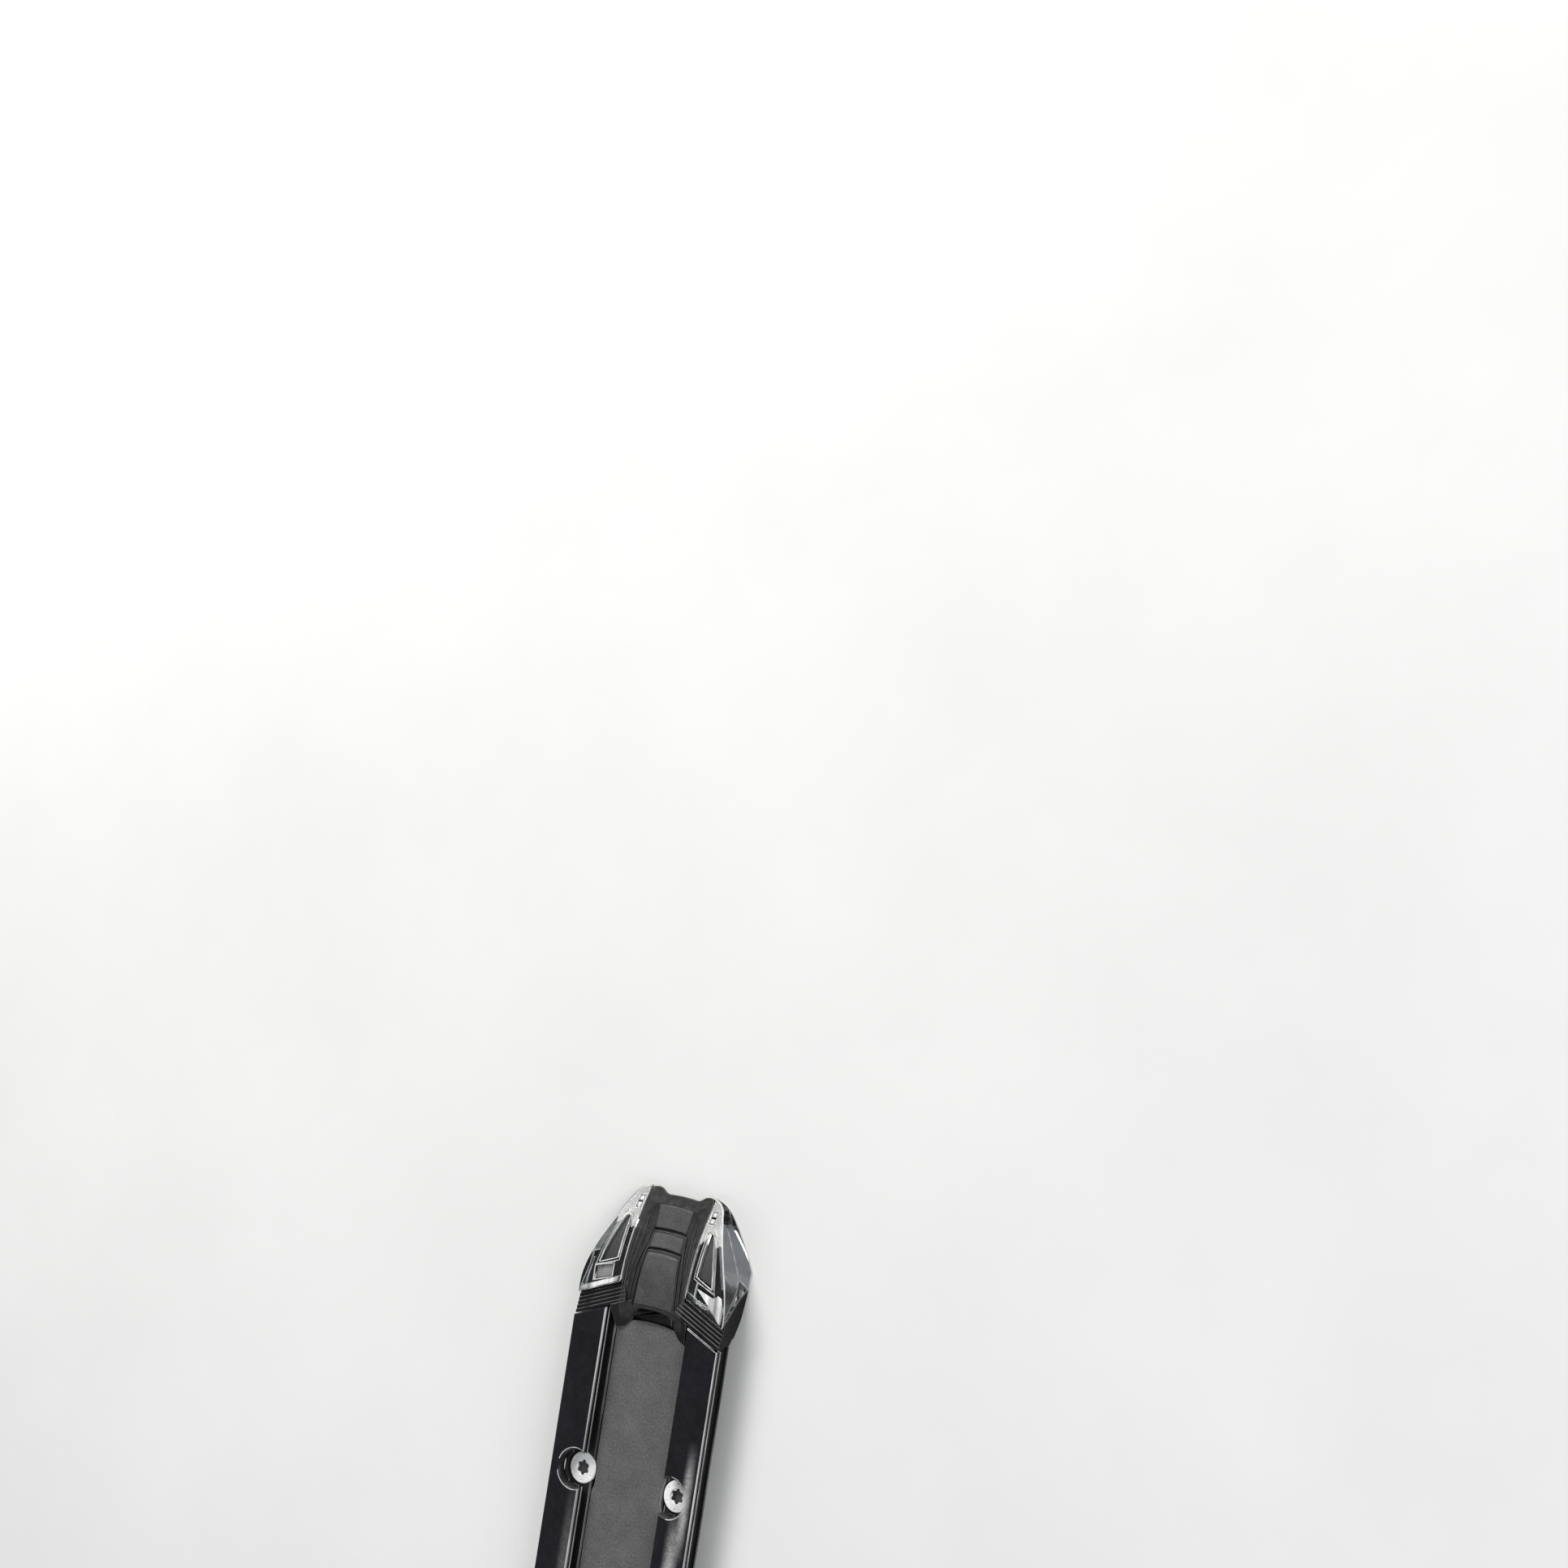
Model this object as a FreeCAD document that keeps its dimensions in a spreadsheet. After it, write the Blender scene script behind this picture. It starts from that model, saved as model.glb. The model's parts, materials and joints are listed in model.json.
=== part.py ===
import FreeCAD, Part
import Sketcher
import os

# Front track of a rail-type ski binding: the plate that is screwed to the ski in front of the
# boot, with two T rails for the toe piece, a floating centre band and a snap-on end cap.
# X is across the ski, +Y points to the ski's tip, Z = 0 is the ski's top surface.
# The origin is the middle of the four mounting screws.

Vector = FreeCAD.Vector
doc = FreeCAD.newDocument("front_track")
sheet = doc.addObject("Spreadsheet::Sheet", "Dims")
sheet_rows = []


class Size:
    """A length that knows its number and its spreadsheet expression."""

    def __init__(self, number, text):
        self.number = float(number)
        self.text = text

    def join(self, other, sign, number):
        return Size(number, "(%s %s %s)" % (self.text, sign, as_size(other).text))

    def __add__(self, other):
        return self.join(other, "+", self.number + as_size(other).number)

    def __sub__(self, other):
        return self.join(other, "-", self.number - as_size(other).number)

    def __mul__(self, other):
        return self.join(other, "*", self.number * as_size(other).number)

    def __truediv__(self, other):
        return self.join(other, "/", self.number / as_size(other).number)

    def __radd__(self, other):
        return as_size(other) + self

    def __rsub__(self, other):
        return as_size(other) - self

    def __rmul__(self, other):
        return as_size(other) * self

    def __neg__(self):
        return Size(-self.number, "(0 - %s)" % self.text)


def as_size(value):
    if isinstance(value, Size):
        return value
    return Size(value, "%.6g" % value)


def dim(name, number):
    """Put one driving dimension into the spreadsheet."""
    row = len(sheet_rows) + 1
    sheet_rows.append(name)
    sheet.set("A%d" % row, name)
    sheet.set("B%d" % row, str(number))
    sheet.setAlias("B%d" % row, name)
    return Size(number, "Dims." + name)


# ---------------------------------------------------------------- driving dimensions, mm
screw_span = dim("screw_span", 36.0)            # between left and right mounting screws
screw_pitch = dim("screw_pitch", 110.0)         # between front and rear mounting screws
head_radius = dim("head_radius", 4.9)
head_top = dim("head_top", 5.96)
shank_radius = dim("shank_radius", 2.75)
shank_length = dim("shank_length", 9.5)         # below the ski's surface

rail_top = dim("rail_top", 10.4)
rail_outer = dim("rail_outer", 27.25)
rail_inner = dim("rail_inner", 15.3)
rail_under = dim("rail_under", 7.7)
rail_bevel = dim("rail_bevel", 0.3)             # drop of the outer edge
bevel_width = dim("bevel_width", 3.5)
lip_height = dim("lip_height", 0.8)             # upper and lower lip of the rail's edge
lip_depth = dim("lip_depth", 0.55)              # groove between the lips
edge_break = dim("edge_break", 0.3)
pocket_radius = dim("pocket_radius", 5.7)
pocket_chamfer = dim("pocket_chamfer", 0.6)

web_outer = dim("web_outer", 23.5)
web_inner = dim("web_inner", 17.0)
foot_half = dim("foot_half", 24.45)
foot_height = dim("foot_height", 0.6)
ledge_top = dim("ledge_top", 6.0)
ledge_inner = dim("ledge_inner", 13.9)
channel_floor = dim("channel_floor", 4.0)
seat_floor = dim("seat_floor", 3.9)             # what the screw heads bear on
seat_radius = dim("seat_radius", 5.2)
key_width = dim("key_width", 1.6)               # rail's rib in the web's slot
key_depth = dim("key_depth", 1.4)

rail_rear = dim("rail_rear", -82.0)
track_rear = dim("track_rear", -100.0)
wing_slope = dim("wing_slope", 0.412)           # the slanted front ends, as fall per mm of X
rail_front = dim("rail_front", 111.65)          # where the rails' slanted ends would meet X = 0
wing_rear = dim("wing_rear", 111.95)            # same, for the cap's wings
sill_reach = dim("sill_reach", 2.0)             # thin foot of the base that runs on under the wings
terrace_pitch = dim("terrace_pitch", 1.22)
terrace_rise = dim("terrace_rise", 0.24)
terrace_count = 5
lens_rear = dim("lens_rear", 118.4)
lens_slant = dim("lens_slant", 1.28)            # how far the lens's rear face runs forward per mm down

band_half = dim("band_half", 13.4)
band_top = dim("band_top", 6.0)
band_thick = dim("band_thick", 1.7)
band_front = dim("band_front", 103.2)
band_rear = dim("band_rear", -116.0)
band_nose_radius = dim("band_nose_radius", 40.0)
band_forward = dim("band_forward", 3.0)         # float towards the tip
band_back = dim("band_back", 0.5)

cap_inner = dim("cap_inner", 12.0)              # half width of the cap's middle
lens_inner = dim("lens_inner", 12.15)
cap_tip = dim("cap_tip", 143.0)
crown_flat = dim("crown_flat", 9.7)             # height of the flat rear part of the wings
crown_start = dim("crown_start", 111.0)
crown_radius = dim("crown_radius", 60.0)
crown_end = dim("crown_end", 135.1)
crown_end_height = dim("crown_end_height", 4.64)
tip_height = dim("tip_height", 1.08)
lens_skin = dim("lens_skin", 1.5)
tongue_half = dim("tongue_half", 9.0)
tongue_neck = dim("tongue_neck", 7.6)
tongue_top = dim("tongue_top", 2.8)
tongue_step = dim("tongue_step", 1.5)
tongue_front = dim("tongue_front", 128.0)
slide_gap = dim("slide_gap", 0.3)
leg_tilt = dim("leg_tilt", 0.39)                # rise of the legs' top per mm outwards
leg_fall = dim("leg_fall", 0.33)                # and per mm forwards

pad_thick = dim("pad_thick", 1.0)
bridge_top = dim("bridge_top", 8.6)
bridge_screw_x = dim("bridge_screw_x", 19.0)
doc.recompute()

screw_x = screw_span / 2
front_row = screw_pitch / 2
rear_row = -screw_pitch / 2
SIDES = (("right", 1), ("left", -1))
ROWS = (("front", front_row), ("rear", rear_row))

# ---------------------------------------------------------------- sketch helpers
TURN = {
    "XY": FreeCAD.Rotation(),
    "XZ": FreeCAD.Rotation(Vector(1, 0, 0), 90),
    "YZ": FreeCAD.Rotation(Vector(1, 1, 1), 120),
}
LIFT = {"XY": "z", "XZ": "y", "YZ": "x"}


def tie(sketch, kind, edge, end, value):
    """One dimension from the sketch's origin, driven by the spreadsheet."""
    value = as_size(value)
    number = sketch.addConstraint(Sketcher.Constraint(kind, -1, 1, edge, end, value.number))
    sketch.setExpression("Constraints[%d]" % number, value.text)


def draw_outline(sketch, points):
    """Closed outline. A point is (x, y) or (x, y, radius): radius > 0 makes the edge that
    leaves the point an arc that bulges to the left of its direction, < 0 to the right."""
    first = sketch.GeometryCount
    count = len(points)
    spots = [Vector(as_size(p[0]).number, as_size(p[1]).number, 0) for p in points]
    for i, point in enumerate(points):
        here = spots[i]
        there = spots[(i + 1) % count]
        if len(point) == 3:
            radius = as_size(point[2]).number
            sketch.addGeometry(arc_between(here, there, radius), False)
        else:
            sketch.addGeometry(Part.LineSegment(here, there), False)
    ends = []
    for i, point in enumerate(points):
        flipped = len(point) == 3 and as_size(point[2]).number > 0
        ends.append((2, 1) if flipped else (1, 2))
    for i in range(count):
        after = (i + 1) % count
        sketch.addConstraint(
            Sketcher.Constraint("Coincident", first + i, ends[i][1], first + after, ends[after][0])
        )
    for i, point in enumerate(points):
        tie(sketch, "DistanceX", first + i, ends[i][0], point[0])
        tie(sketch, "DistanceY", first + i, ends[i][0], point[1])
        if len(point) == 3:
            size = as_size(point[2])
            size = size if size.number > 0 else -size
            number = sketch.addConstraint(Sketcher.Constraint("Radius", first + i, size.number))
            sketch.setExpression("Constraints[%d]" % number, size.text)


def arc_between(here, there, radius):
    """Arc of less than half a turn. Positive radii bulge to the left of here -> there."""
    chord = there - here
    left = Vector(-chord.y, chord.x, 0).normalize()
    reach = (radius * radius - chord.Length ** 2 / 4) ** 0.5
    side = 1 if radius > 0 else -1
    centre = (here + there) * 0.5 - left * side * reach
    middle = centre + left * side * abs(radius)
    return Part.Arc(here, middle, there)


def draw_circle(sketch, x, y, radius):
    edge = sketch.GeometryCount
    spot = Vector(as_size(x).number, as_size(y).number, 0)
    sketch.addGeometry(Part.Circle(spot, Vector(0, 0, 1), as_size(radius).number), False)
    tie(sketch, "DistanceX", edge, 3, x)
    tie(sketch, "DistanceY", edge, 3, y)
    size = as_size(radius)
    number = sketch.addConstraint(Sketcher.Constraint("Radius", edge, size.number))
    sketch.setExpression("Constraints[%d]" % number, size.text)


def free_sketch(name, plane, level, *outlines):
    """Sketch outside a body, on a plane parallel to XY, XZ or YZ."""
    sketch = doc.addObject("Sketcher::SketchObject", name)
    sketch.Placement = FreeCAD.Placement(Vector(), TURN[plane])
    sketch.setExpression("Placement.Base." + LIFT[plane], as_size(level).text)
    for points in outlines:
        draw_outline(sketch, points)
    return sketch


def prism(name, plane, points, low, high):
    """Straight solid between two levels along the plane's normal."""
    sketch = free_sketch(name + "_outline", plane, low, points)
    solid = doc.addObject("Part::Extrusion", name)
    solid.Base = sketch
    solid.DirMode = "Custom"
    axis = LIFT[plane]
    solid.Dir = Vector(*[1.0 if a == axis else 0.0 for a in "xyz"])
    solid.Solid = True
    length = as_size(high) - low
    solid.LengthFwd = length.number
    solid.setExpression("LengthFwd", length.text)
    return solid


def slanted(name, points, side, reach):
    """Solid whose YZ section moves back by wing_slope for each mm away from the middle."""
    sketch = free_sketch(name + "_outline", "YZ", 0, points)
    solid = doc.addObject("Part::Extrusion", name)
    solid.Base = sketch
    solid.DirMode = "Custom"
    solid.Solid = True
    solid.Dir = Vector(side * reach, -wing_slope.number * reach, 0)
    solid.setExpression("Dir.y", "(0 - %s) * %.6g" % (wing_slope.text, reach))
    solid.LengthFwd = 0
    return solid


def boolean(kind, name, shapes):
    solid = doc.addObject("Part::Multi" + kind, name)
    solid.Shapes = shapes
    return solid


def fuse(name, *shapes):
    solid = boolean("Fuse", name, list(shapes))
    solid.Refine = True
    return solid


def common(name, *shapes):
    return boolean("Common", name, list(shapes))


def cut(name, base, tool):
    solid = doc.addObject("Part::Cut", name)
    solid.Base = base
    solid.Tool = tool
    solid.Refine = True
    return solid


def box_points(x0, x1, y0, y1):
    return [(x0, y0), (x1, y0), (x1, y1), (x0, y1)]


def mirrored(points, side):
    """The same outline on the other side of the middle, still running anticlockwise."""
    if side > 0:
        return points
    turned = []
    count = len(points)
    for i in range(count):
        point = points[-1 - i]
        before = points[(count - 2 - i) % count]
        radius = before[2:]
        turned.append((-as_size(point[0]), point[1]) + tuple(radius))
    return turned


# ---------------------------------------------------------------- PartDesign helpers
def new_body(label):
    return doc.addObject("PartDesign::Body", label)


def body_sketch(body, name, plane, level=0):
    """Sketch on a body's own origin plane, lifted along X, Y or Z to a level."""
    sketch = body.newObject("Sketcher::SketchObject", name)
    role = plane + "_Plane"
    support = [f for f in body.Origin.OriginFeatures if f.Role == role][0]
    sketch.AttachmentSupport = [(support, "")]
    sketch.MapMode = "FlatFace"
    value = as_size(level)
    if plane == "XZ":
        value = -value
    sketch.AttachmentOffset = FreeCAD.Placement(Vector(0, 0, value.number), FreeCAD.Rotation())
    sketch.setExpression("AttachmentOffset.Base.z", value.text)
    return sketch


def feature(body, kind, name, sketch, length=None, reverse=False, through=False):
    item = body.newObject("PartDesign::" + kind, name)
    item.Profile = sketch
    if through:
        item.Type = "ThroughAll"
    if length is not None:
        item.Length = as_size(length).number
        item.setExpression("Length", as_size(length).text)
    item.Reversed = reverse
    sketch.Visibility = False
    return item


def pad_up(body, name, points, low, high):
    """Pad on XY from one level to another."""
    sketch = body_sketch(body, name + "_outline", "XY", low)
    draw_outline(sketch, points)
    return feature(body, "Pad", name, sketch, as_size(high) - low)


def pad_along(body, name, points, rear, front):
    """Pad of an XZ section from one Y to another."""
    sketch = body_sketch(body, name + "_outline", "XZ", front)
    draw_outline(sketch, points)
    return feature(body, "Pad", name, sketch, as_size(front) - rear)


def pocket_down(body, name, outlines, top, depth, circles=()):
    """Pocket cut down from a level; depth None goes right through."""
    sketch = body_sketch(body, name + "_outline", "XY", top)
    for points in outlines:
        draw_outline(sketch, points)
    for x, y, radius in circles:
        draw_circle(sketch, x, y, radius)
    if depth is None:
        return feature(body, "Pocket", name, sketch, through=True)
    return feature(body, "Pocket", name, sketch, depth)


def pick_edges(shape, wanted):
    """Names of the edges for which wanted(edge) is true."""
    return ["Edge%d" % (i + 1) for i, edge in enumerate(shape.Edges) if wanted(edge)]


def break_edges(body, kind, name, size, wanted):
    """Chamfer or fillet the chosen edges of the body so far."""
    doc.recompute()
    base = body.Tip
    item = body.newObject("PartDesign::" + kind, name)
    item.Base = (base, pick_edges(base.Shape, wanted))
    prop = "Size" if kind == "Chamfer" else "Radius"
    setattr(item, prop, as_size(size).number)
    item.setExpression(prop, as_size(size).text)
    return item


# ---------------------------------------------------------------- track base
def make_track_base():
    body = new_body("track_base")
    half = [
        (foot_half, 0),
        (foot_half, foot_height),
        (web_outer, foot_height),
        (web_outer, rail_under),
        (web_inner, rail_under),
        (web_inner, ledge_top),
        (ledge_inner + edge_break, ledge_top),
        (ledge_inner, ledge_top - edge_break),
        (ledge_inner, channel_floor),
    ]
    section = half + [(-x, z) for x, z in reversed(half)]
    pad_along(body, "floor_and_webs", section, rail_rear, rail_front + 3)
    tail = [
        (foot_half, 0),
        (foot_half, ledge_top),
        (ledge_inner, ledge_top),
        (ledge_inner, channel_floor),
    ]
    pad_along(body, "tail", tail + [(-x, z) for x, z in reversed(tail)], track_rear, rail_rear)
    # slanted front ends, alongside the cap's wings
    reach = 40.0
    corner = rail_front - wing_slope * ledge_inner
    far = rail_front - wing_slope * reach
    ends = (("front_end", 0.0, rail_top - foot_height), ("sill_end", sill_reach, None))
    for name, ahead_by, depth in ends:
        for label, side in SIDES:
            wedge = [
                (ledge_inner, corner + ahead_by),
                (reach, far + ahead_by),
                (reach, rail_front + 4),
                (ledge_inner, rail_front + 4),
            ]
            pocket_down(body, name + "_" + label, [mirrored(wedge, side)], rail_top, depth)
    middle = box_points(-ledge_inner, ledge_inner, corner, rail_front + 4)
    pocket_down(body, "middle_end", [middle], rail_top, None)
    # tongue that the cap slides onto, a T in section
    neck = [
        (tongue_neck, 0),
        (tongue_neck, tongue_step),
        (tongue_half, tongue_step),
        (tongue_half, tongue_top),
    ]
    section = neck + [(-x, z) for x, z in reversed(neck)]
    pad_along(body, "tongue", section, corner - 1, tongue_front)
    # seats for the mounting screws' heads, and their holes
    seats = [(side * screw_x, row, seat_radius) for _, side in SIDES for _, row in ROWS]
    pocket_down(body, "screw_seats", [], rail_top, rail_top - seat_floor, seats)
    holes = [(x, y, shank_radius + 0.05) for x, y, _ in seats]
    pocket_down(body, "screw_holes", [], rail_top, None, holes)
    # slots in the webs for the rails' ribs
    for label, side in SIDES:
        middle_x = side * (web_outer + web_inner) / 2
        slot = box_points(
            middle_x - key_width / 2, middle_x + key_width / 2, rail_rear, rail_front + 4
        )
        pocket_down(body, "rib_slot_" + label, [slot], rail_under, key_depth)
    # recesses in the underside for the damping pads
    outlines = [box_points(-x, x, y0, y1) for x, y0, y1 in damping_places()]
    sketch = body_sketch(body, "pad_recess_outline", "XY", 0)
    for points in outlines:
        draw_outline(sketch, points)
    feature(body, "Pocket", "pad_recess", sketch, pad_thick, reverse=True)
    # holes for the bridge's screws and the float pin
    screws = [(side * bridge_screw_x, bridge_middle(), 1.3) for _, side in SIDES]
    pocket_down(body, "bridge_screw_holes", [], ledge_top, 5, screws)
    pocket_down(body, "pin_hole", [], channel_floor, 3, [(0, bridge_middle(), 1.5)])
    # lightening windows in the channel's floor, under the band
    windows = [box_points(-8, 8, y, y + 14) for y in (-46, -24, -2, 20)]
    pocket_down(body, "floor_windows", windows, channel_floor, 2.2)
    return body


def damping_places():
    """Half width and Y range of the two pads under the base."""
    return (
        (12.5, front_row - 10, front_row + 40),
        (12.5, rear_row - 30, rear_row + 12),
    )


def bridge_middle():
    return (track_rear + rail_rear) / 2


def make_damping_pad(label, place):
    body = new_body("damping_pad_" + label)
    x, y0, y1 = place
    pad_up(body, "sheet", box_points(-x, x, y0, y1), 0, pad_thick)
    dimples = [(i * 5, y0 + j * 6 + 4, 1.2) for i in (-2, -1, 0, 1, 2) for j in range(6)]
    pocket_down(body, "relief_holes", [], pad_thick, None, dimples)
    return body


# ---------------------------------------------------------------- rails
def make_rail(label, side):
    body = new_body("rail_" + label)
    low_lip = rail_under + lip_height
    outer_top = rail_top - rail_bevel
    middle_x = (web_outer + web_inner) / 2
    section = [
        (rail_inner + edge_break, rail_under),
        (middle_x - key_width / 2 + 0.03, rail_under),
        (middle_x - key_width / 2 + 0.03, rail_under - key_depth + 0.05),
        (middle_x + key_width / 2 - 0.03, rail_under - key_depth + 0.05),
        (middle_x + key_width / 2 - 0.03, rail_under),
        (rail_outer - edge_break, rail_under),
        (rail_outer, rail_under + edge_break),
        (rail_outer, low_lip),
        (rail_outer - lip_depth, low_lip + 0.12),
        (rail_outer - lip_depth, outer_top - lip_height - 0.12),
        (rail_outer, outer_top - lip_height),
        (rail_outer, outer_top - edge_break),
        (rail_outer - edge_break, outer_top),
        (rail_outer - bevel_width, rail_top),
        (rail_inner + edge_break, rail_top),
        (rail_inner, rail_top - edge_break),
        (rail_inner, rail_top - lip_height),
        (rail_inner + lip_depth, rail_top - lip_height - 0.12),
        (rail_inner + lip_depth, low_lip + 0.12),
        (rail_inner, low_lip),
        (rail_inner, rail_under + edge_break),
    ]
    pad_along(body, "section", mirrored(section, side), rail_rear, rail_front)
    wedge = [
        (0, rail_front),
        (40, rail_front - wing_slope * 40),
        (40, rail_front + 1),
        (0, rail_front + 1),
    ]
    pocket_down(body, "slanted_end", [mirrored(wedge, side)], rail_top, None)
    circles = [(side * screw_x, row, pocket_radius) for _, row in ROWS]
    pocket_down(body, "screw_pockets", [], rail_top, None, circles)

    def rim(edge):
        # the pockets' round rims and the sloping front edge, on the top face
        box = edge.BoundBox
        if box.ZMin < outer_top.number - 0.31:
            return False
        if hasattr(edge.Curve, "Radius"):
            return abs(edge.Curve.Radius - pocket_radius.number) < 0.01
        return False

    break_edges(body, "Chamfer", "pocket_rims", pocket_chamfer, rim)

    def front_edge(edge):
        box = edge.BoundBox
        flat = box.ZMin > outer_top.number - 0.01
        return flat and box.XLength > 1 and box.YMin > front_row.number + 10

    break_edges(body, "Chamfer", "front_break", edge_break, front_edge)
    return body


# ---------------------------------------------------------------- mounting screws
def make_mounting_screw(label, x, y):
    body = new_body("mounting_screw_" + label)
    profile = body_sketch(body, "profile", "XZ", y)
    pitch = 1.12
    turns = 6
    core = shank_radius - 0.6
    collar_end = -1.0
    points = [
        (x, head_top),
        (x, -shank_length),
        (x + 0.6, -shank_length),
        (x + core, -shank_length + 1.5),
    ]
    for i in range(turns):
        z = -shank_length + 1.5 + i * pitch
        points += [
            (x + core, z + 0.2),
            (x + shank_radius, z + 0.5),
            (x + shank_radius, z + 0.64),
            (x + core, z + 0.94),
        ]
    points += [
        (x + core, collar_end - 0.2),
        (x + shank_radius, collar_end + 0.3),
        (x + shank_radius, seat_floor),
        (x + head_radius - 0.35, seat_floor),
        (x + head_radius, seat_floor + 0.45),
        (x + head_radius, head_top - 0.3),
        (x + head_radius - 0.3, head_top),
    ]
    draw_outline(profile, points)
    axis = body_sketch(body, "axis_line", "XZ", y)
    axis.addGeometry(Part.LineSegment(Vector(x.number, -5, 0), Vector(x.number, 5, 0)), False)
    tie(axis, "DistanceX", 0, 1, x)
    tie(axis, "DistanceY", 0, 1, -5)
    tie(axis, "DistanceX", 0, 2, x)
    tie(axis, "DistanceY", 0, 2, 5)
    axis.Visibility = False
    turned = body.newObject("PartDesign::Revolution", "turned_blank")
    turned.Profile = profile
    turned.ReferenceAxis = (axis, ["Edge1"])
    turned.Angle = 360
    profile.Visibility = False
    # six-lobe socket: a round bore and six lobes
    socket_radius = head_radius * 0.5
    core_radius = socket_radius * 0.74
    lobe_radius = socket_radius * 0.25
    lobe_reach = socket_radius * 0.72
    pocket_down(body, "socket_rim", [], head_top, 0.35, [(x, y, socket_radius)])
    pocket_down(body, "socket_bore", [], head_top, 1.5, [(x, y, core_radius)])
    lobe = pocket_down(
        body, "socket_lobe", [], head_top, 1.4, [(x, y + lobe_reach, lobe_radius)]
    )
    # shallow marks around the rim
    mark = pocket_down(
        body, "rim_mark", [], head_top, 0.25, [(x, y + head_radius * 0.79, head_radius * 0.075)]
    )
    for name, item in (("socket_lobes", lobe), ("rim_marks", mark)):
        around = body.newObject("PartDesign::PolarPattern", name)
        around.Originals = [item]
        around.Axis = (axis, ["Edge1"])
        around.Angle = 360
        body.Tip = around
        around.Occurrences = 6
    return body


# ---------------------------------------------------------------- centre band and its rack
def rack_places():
    """Half width, rear and front end of the toothed strip in the band."""
    return 5.5, rear_row - 20, front_row - 32


def make_centre_band():
    body = new_body("centre_band")
    bottom = band_top - band_thick
    outline = [
        (-band_half, band_rear + 3),
        (-band_half + 3, band_rear),
        (band_half - 3, band_rear),
        (band_half, band_rear + 3),
        (band_half, band_front - 2.3, -band_nose_radius),
        (-band_half, band_front - 2.3),
    ]
    pad_up(body, "strip", outline, bottom, band_top)
    # clearances around the screw heads, long enough for the float
    for label, side in SIDES:
        for row_label, row in ROWS:
            name = row_label + "_" + label
            sketch = body_sketch(body, "notch_outline_" + name, "XY", band_top)
            rear = row - band_forward
            draw_slot(sketch, side * screw_x, rear, row + band_back, seat_radius + 0.1)
            feature(body, "Pocket", "head_notch_" + name, sketch, through=True)
    # recess for the rack
    x, y0, y1 = rack_places()
    recess = box_points(-x - 0.05, x + 0.05, y0 - 0.05, y1 + 0.05)
    pocket_down(body, "rack_recess", [recess], band_top, 1.1)
    # slot for the float pin and the two holes that the rear band is linked to
    slack = 0.15
    low = bridge_middle() - band_forward - 1.5 - slack
    high = bridge_middle() + band_back + 1.5 + slack
    pocket_down(body, "float_slot", [box_points(-1.65, 1.65, low, high)], band_top, None)
    links = [(x, link_y(), 2.1) for x in (-7, 7)]
    pocket_down(body, "link_holes", [], band_top, None, links)
    rivets = [(0, y, 1.0) for y in rivet_places()]
    pocket_down(body, "rivet_holes", [], band_top, None, rivets)
    break_edges(
        body,
        "Chamfer",
        "top_edge",
        0.2,
        lambda e: e.BoundBox.ZMin > band_top.number - 0.01 and abs(e.BoundBox.Center.x) > 6,
    )
    return body


def draw_slot(sketch, x, rear, front, radius):
    """Slot along Y: two straight sides joined by a half circle at each end."""
    swing = -radius * 1.0001
    outline = [
        (x - radius, rear, swing),
        (x, rear - radius, swing),
        (x + radius, rear),
        (x + radius, front, swing),
        (x, front + radius, swing),
        (x - radius, front),
    ]
    draw_outline(sketch, outline)


def link_y():
    return band_rear + 6


def rivet_places():
    _, y0, y1 = rack_places()
    return (y0 + 4, (y0 + y1) / 2, y1 - 4)


def make_lock_rack():
    body = new_body("lock_rack")
    x, y0, y1 = rack_places()
    low = band_top - 1.1
    pad_up(body, "strip", box_points(-x, x, y0, y1), low, band_top)
    rivets = [(0, y, 1.0) for y in rivet_places()]
    pocket_down(body, "rivet_holes", [], band_top, None, rivets)
    slot = box_points(-3.6, 3.6, y0 + 8, y0 + 10.2)
    first = pocket_down(body, "tooth_slot", [slot], band_top, None)
    pattern = body.newObject("PartDesign::LinearPattern", "tooth_slots")
    pattern.Originals = [first]
    direction = [f for f in body.Origin.OriginFeatures if f.Role == "Y_Axis"][0]
    pattern.Direction = (direction, [""])
    pattern.Mode = "Spacing"
    pattern.Offset = 4.0
    body.Tip = pattern
    pattern.Occurrences = 8
    second_slot = box_points(-3.6, 3.6, (y0 + y1) / 2 + 4, (y0 + y1) / 2 + 6.2)
    second = pocket_down(body, "tooth_slot_front", [second_slot], band_top, None)
    pattern = body.newObject("PartDesign::LinearPattern", "tooth_slots_front")
    pattern.Originals = [second]
    pattern.Direction = (direction, [""])
    pattern.Mode = "Spacing"
    pattern.Offset = 4.0
    body.Tip = pattern
    pattern.Occurrences = 8
    # countersinks for the rivets' heads
    for i, y in enumerate(rivet_places()):
        sketch = body_sketch(body, "countersink_outline_%d" % (i + 1), "YZ", 0)
        profile = [
            (y, band_top - 1.0),
            (y + 0.92, band_top - 1.0),
            (y + 2.0, band_top),
            (y, band_top),
        ]
        draw_outline(sketch, profile)
        spin = body_sketch(body, "countersink_axis_%d" % (i + 1), "YZ", 0)
        spin.addGeometry(Part.LineSegment(Vector(y.number, 2, 0), Vector(y.number, 8, 0)), False)
        tie(spin, "DistanceX", 0, 1, y)
        tie(spin, "DistanceY", 0, 1, 2)
        tie(spin, "DistanceX", 0, 2, y)
        tie(spin, "DistanceY", 0, 2, 8)
        spin.Visibility = False
        sink = body.newObject("PartDesign::Groove", "countersink_%d" % (i + 1))
        sink.Profile = sketch
        sink.ReferenceAxis = (spin, ["Edge1"])
        sink.Angle = 360
        sketch.Visibility = False
    return body


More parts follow.
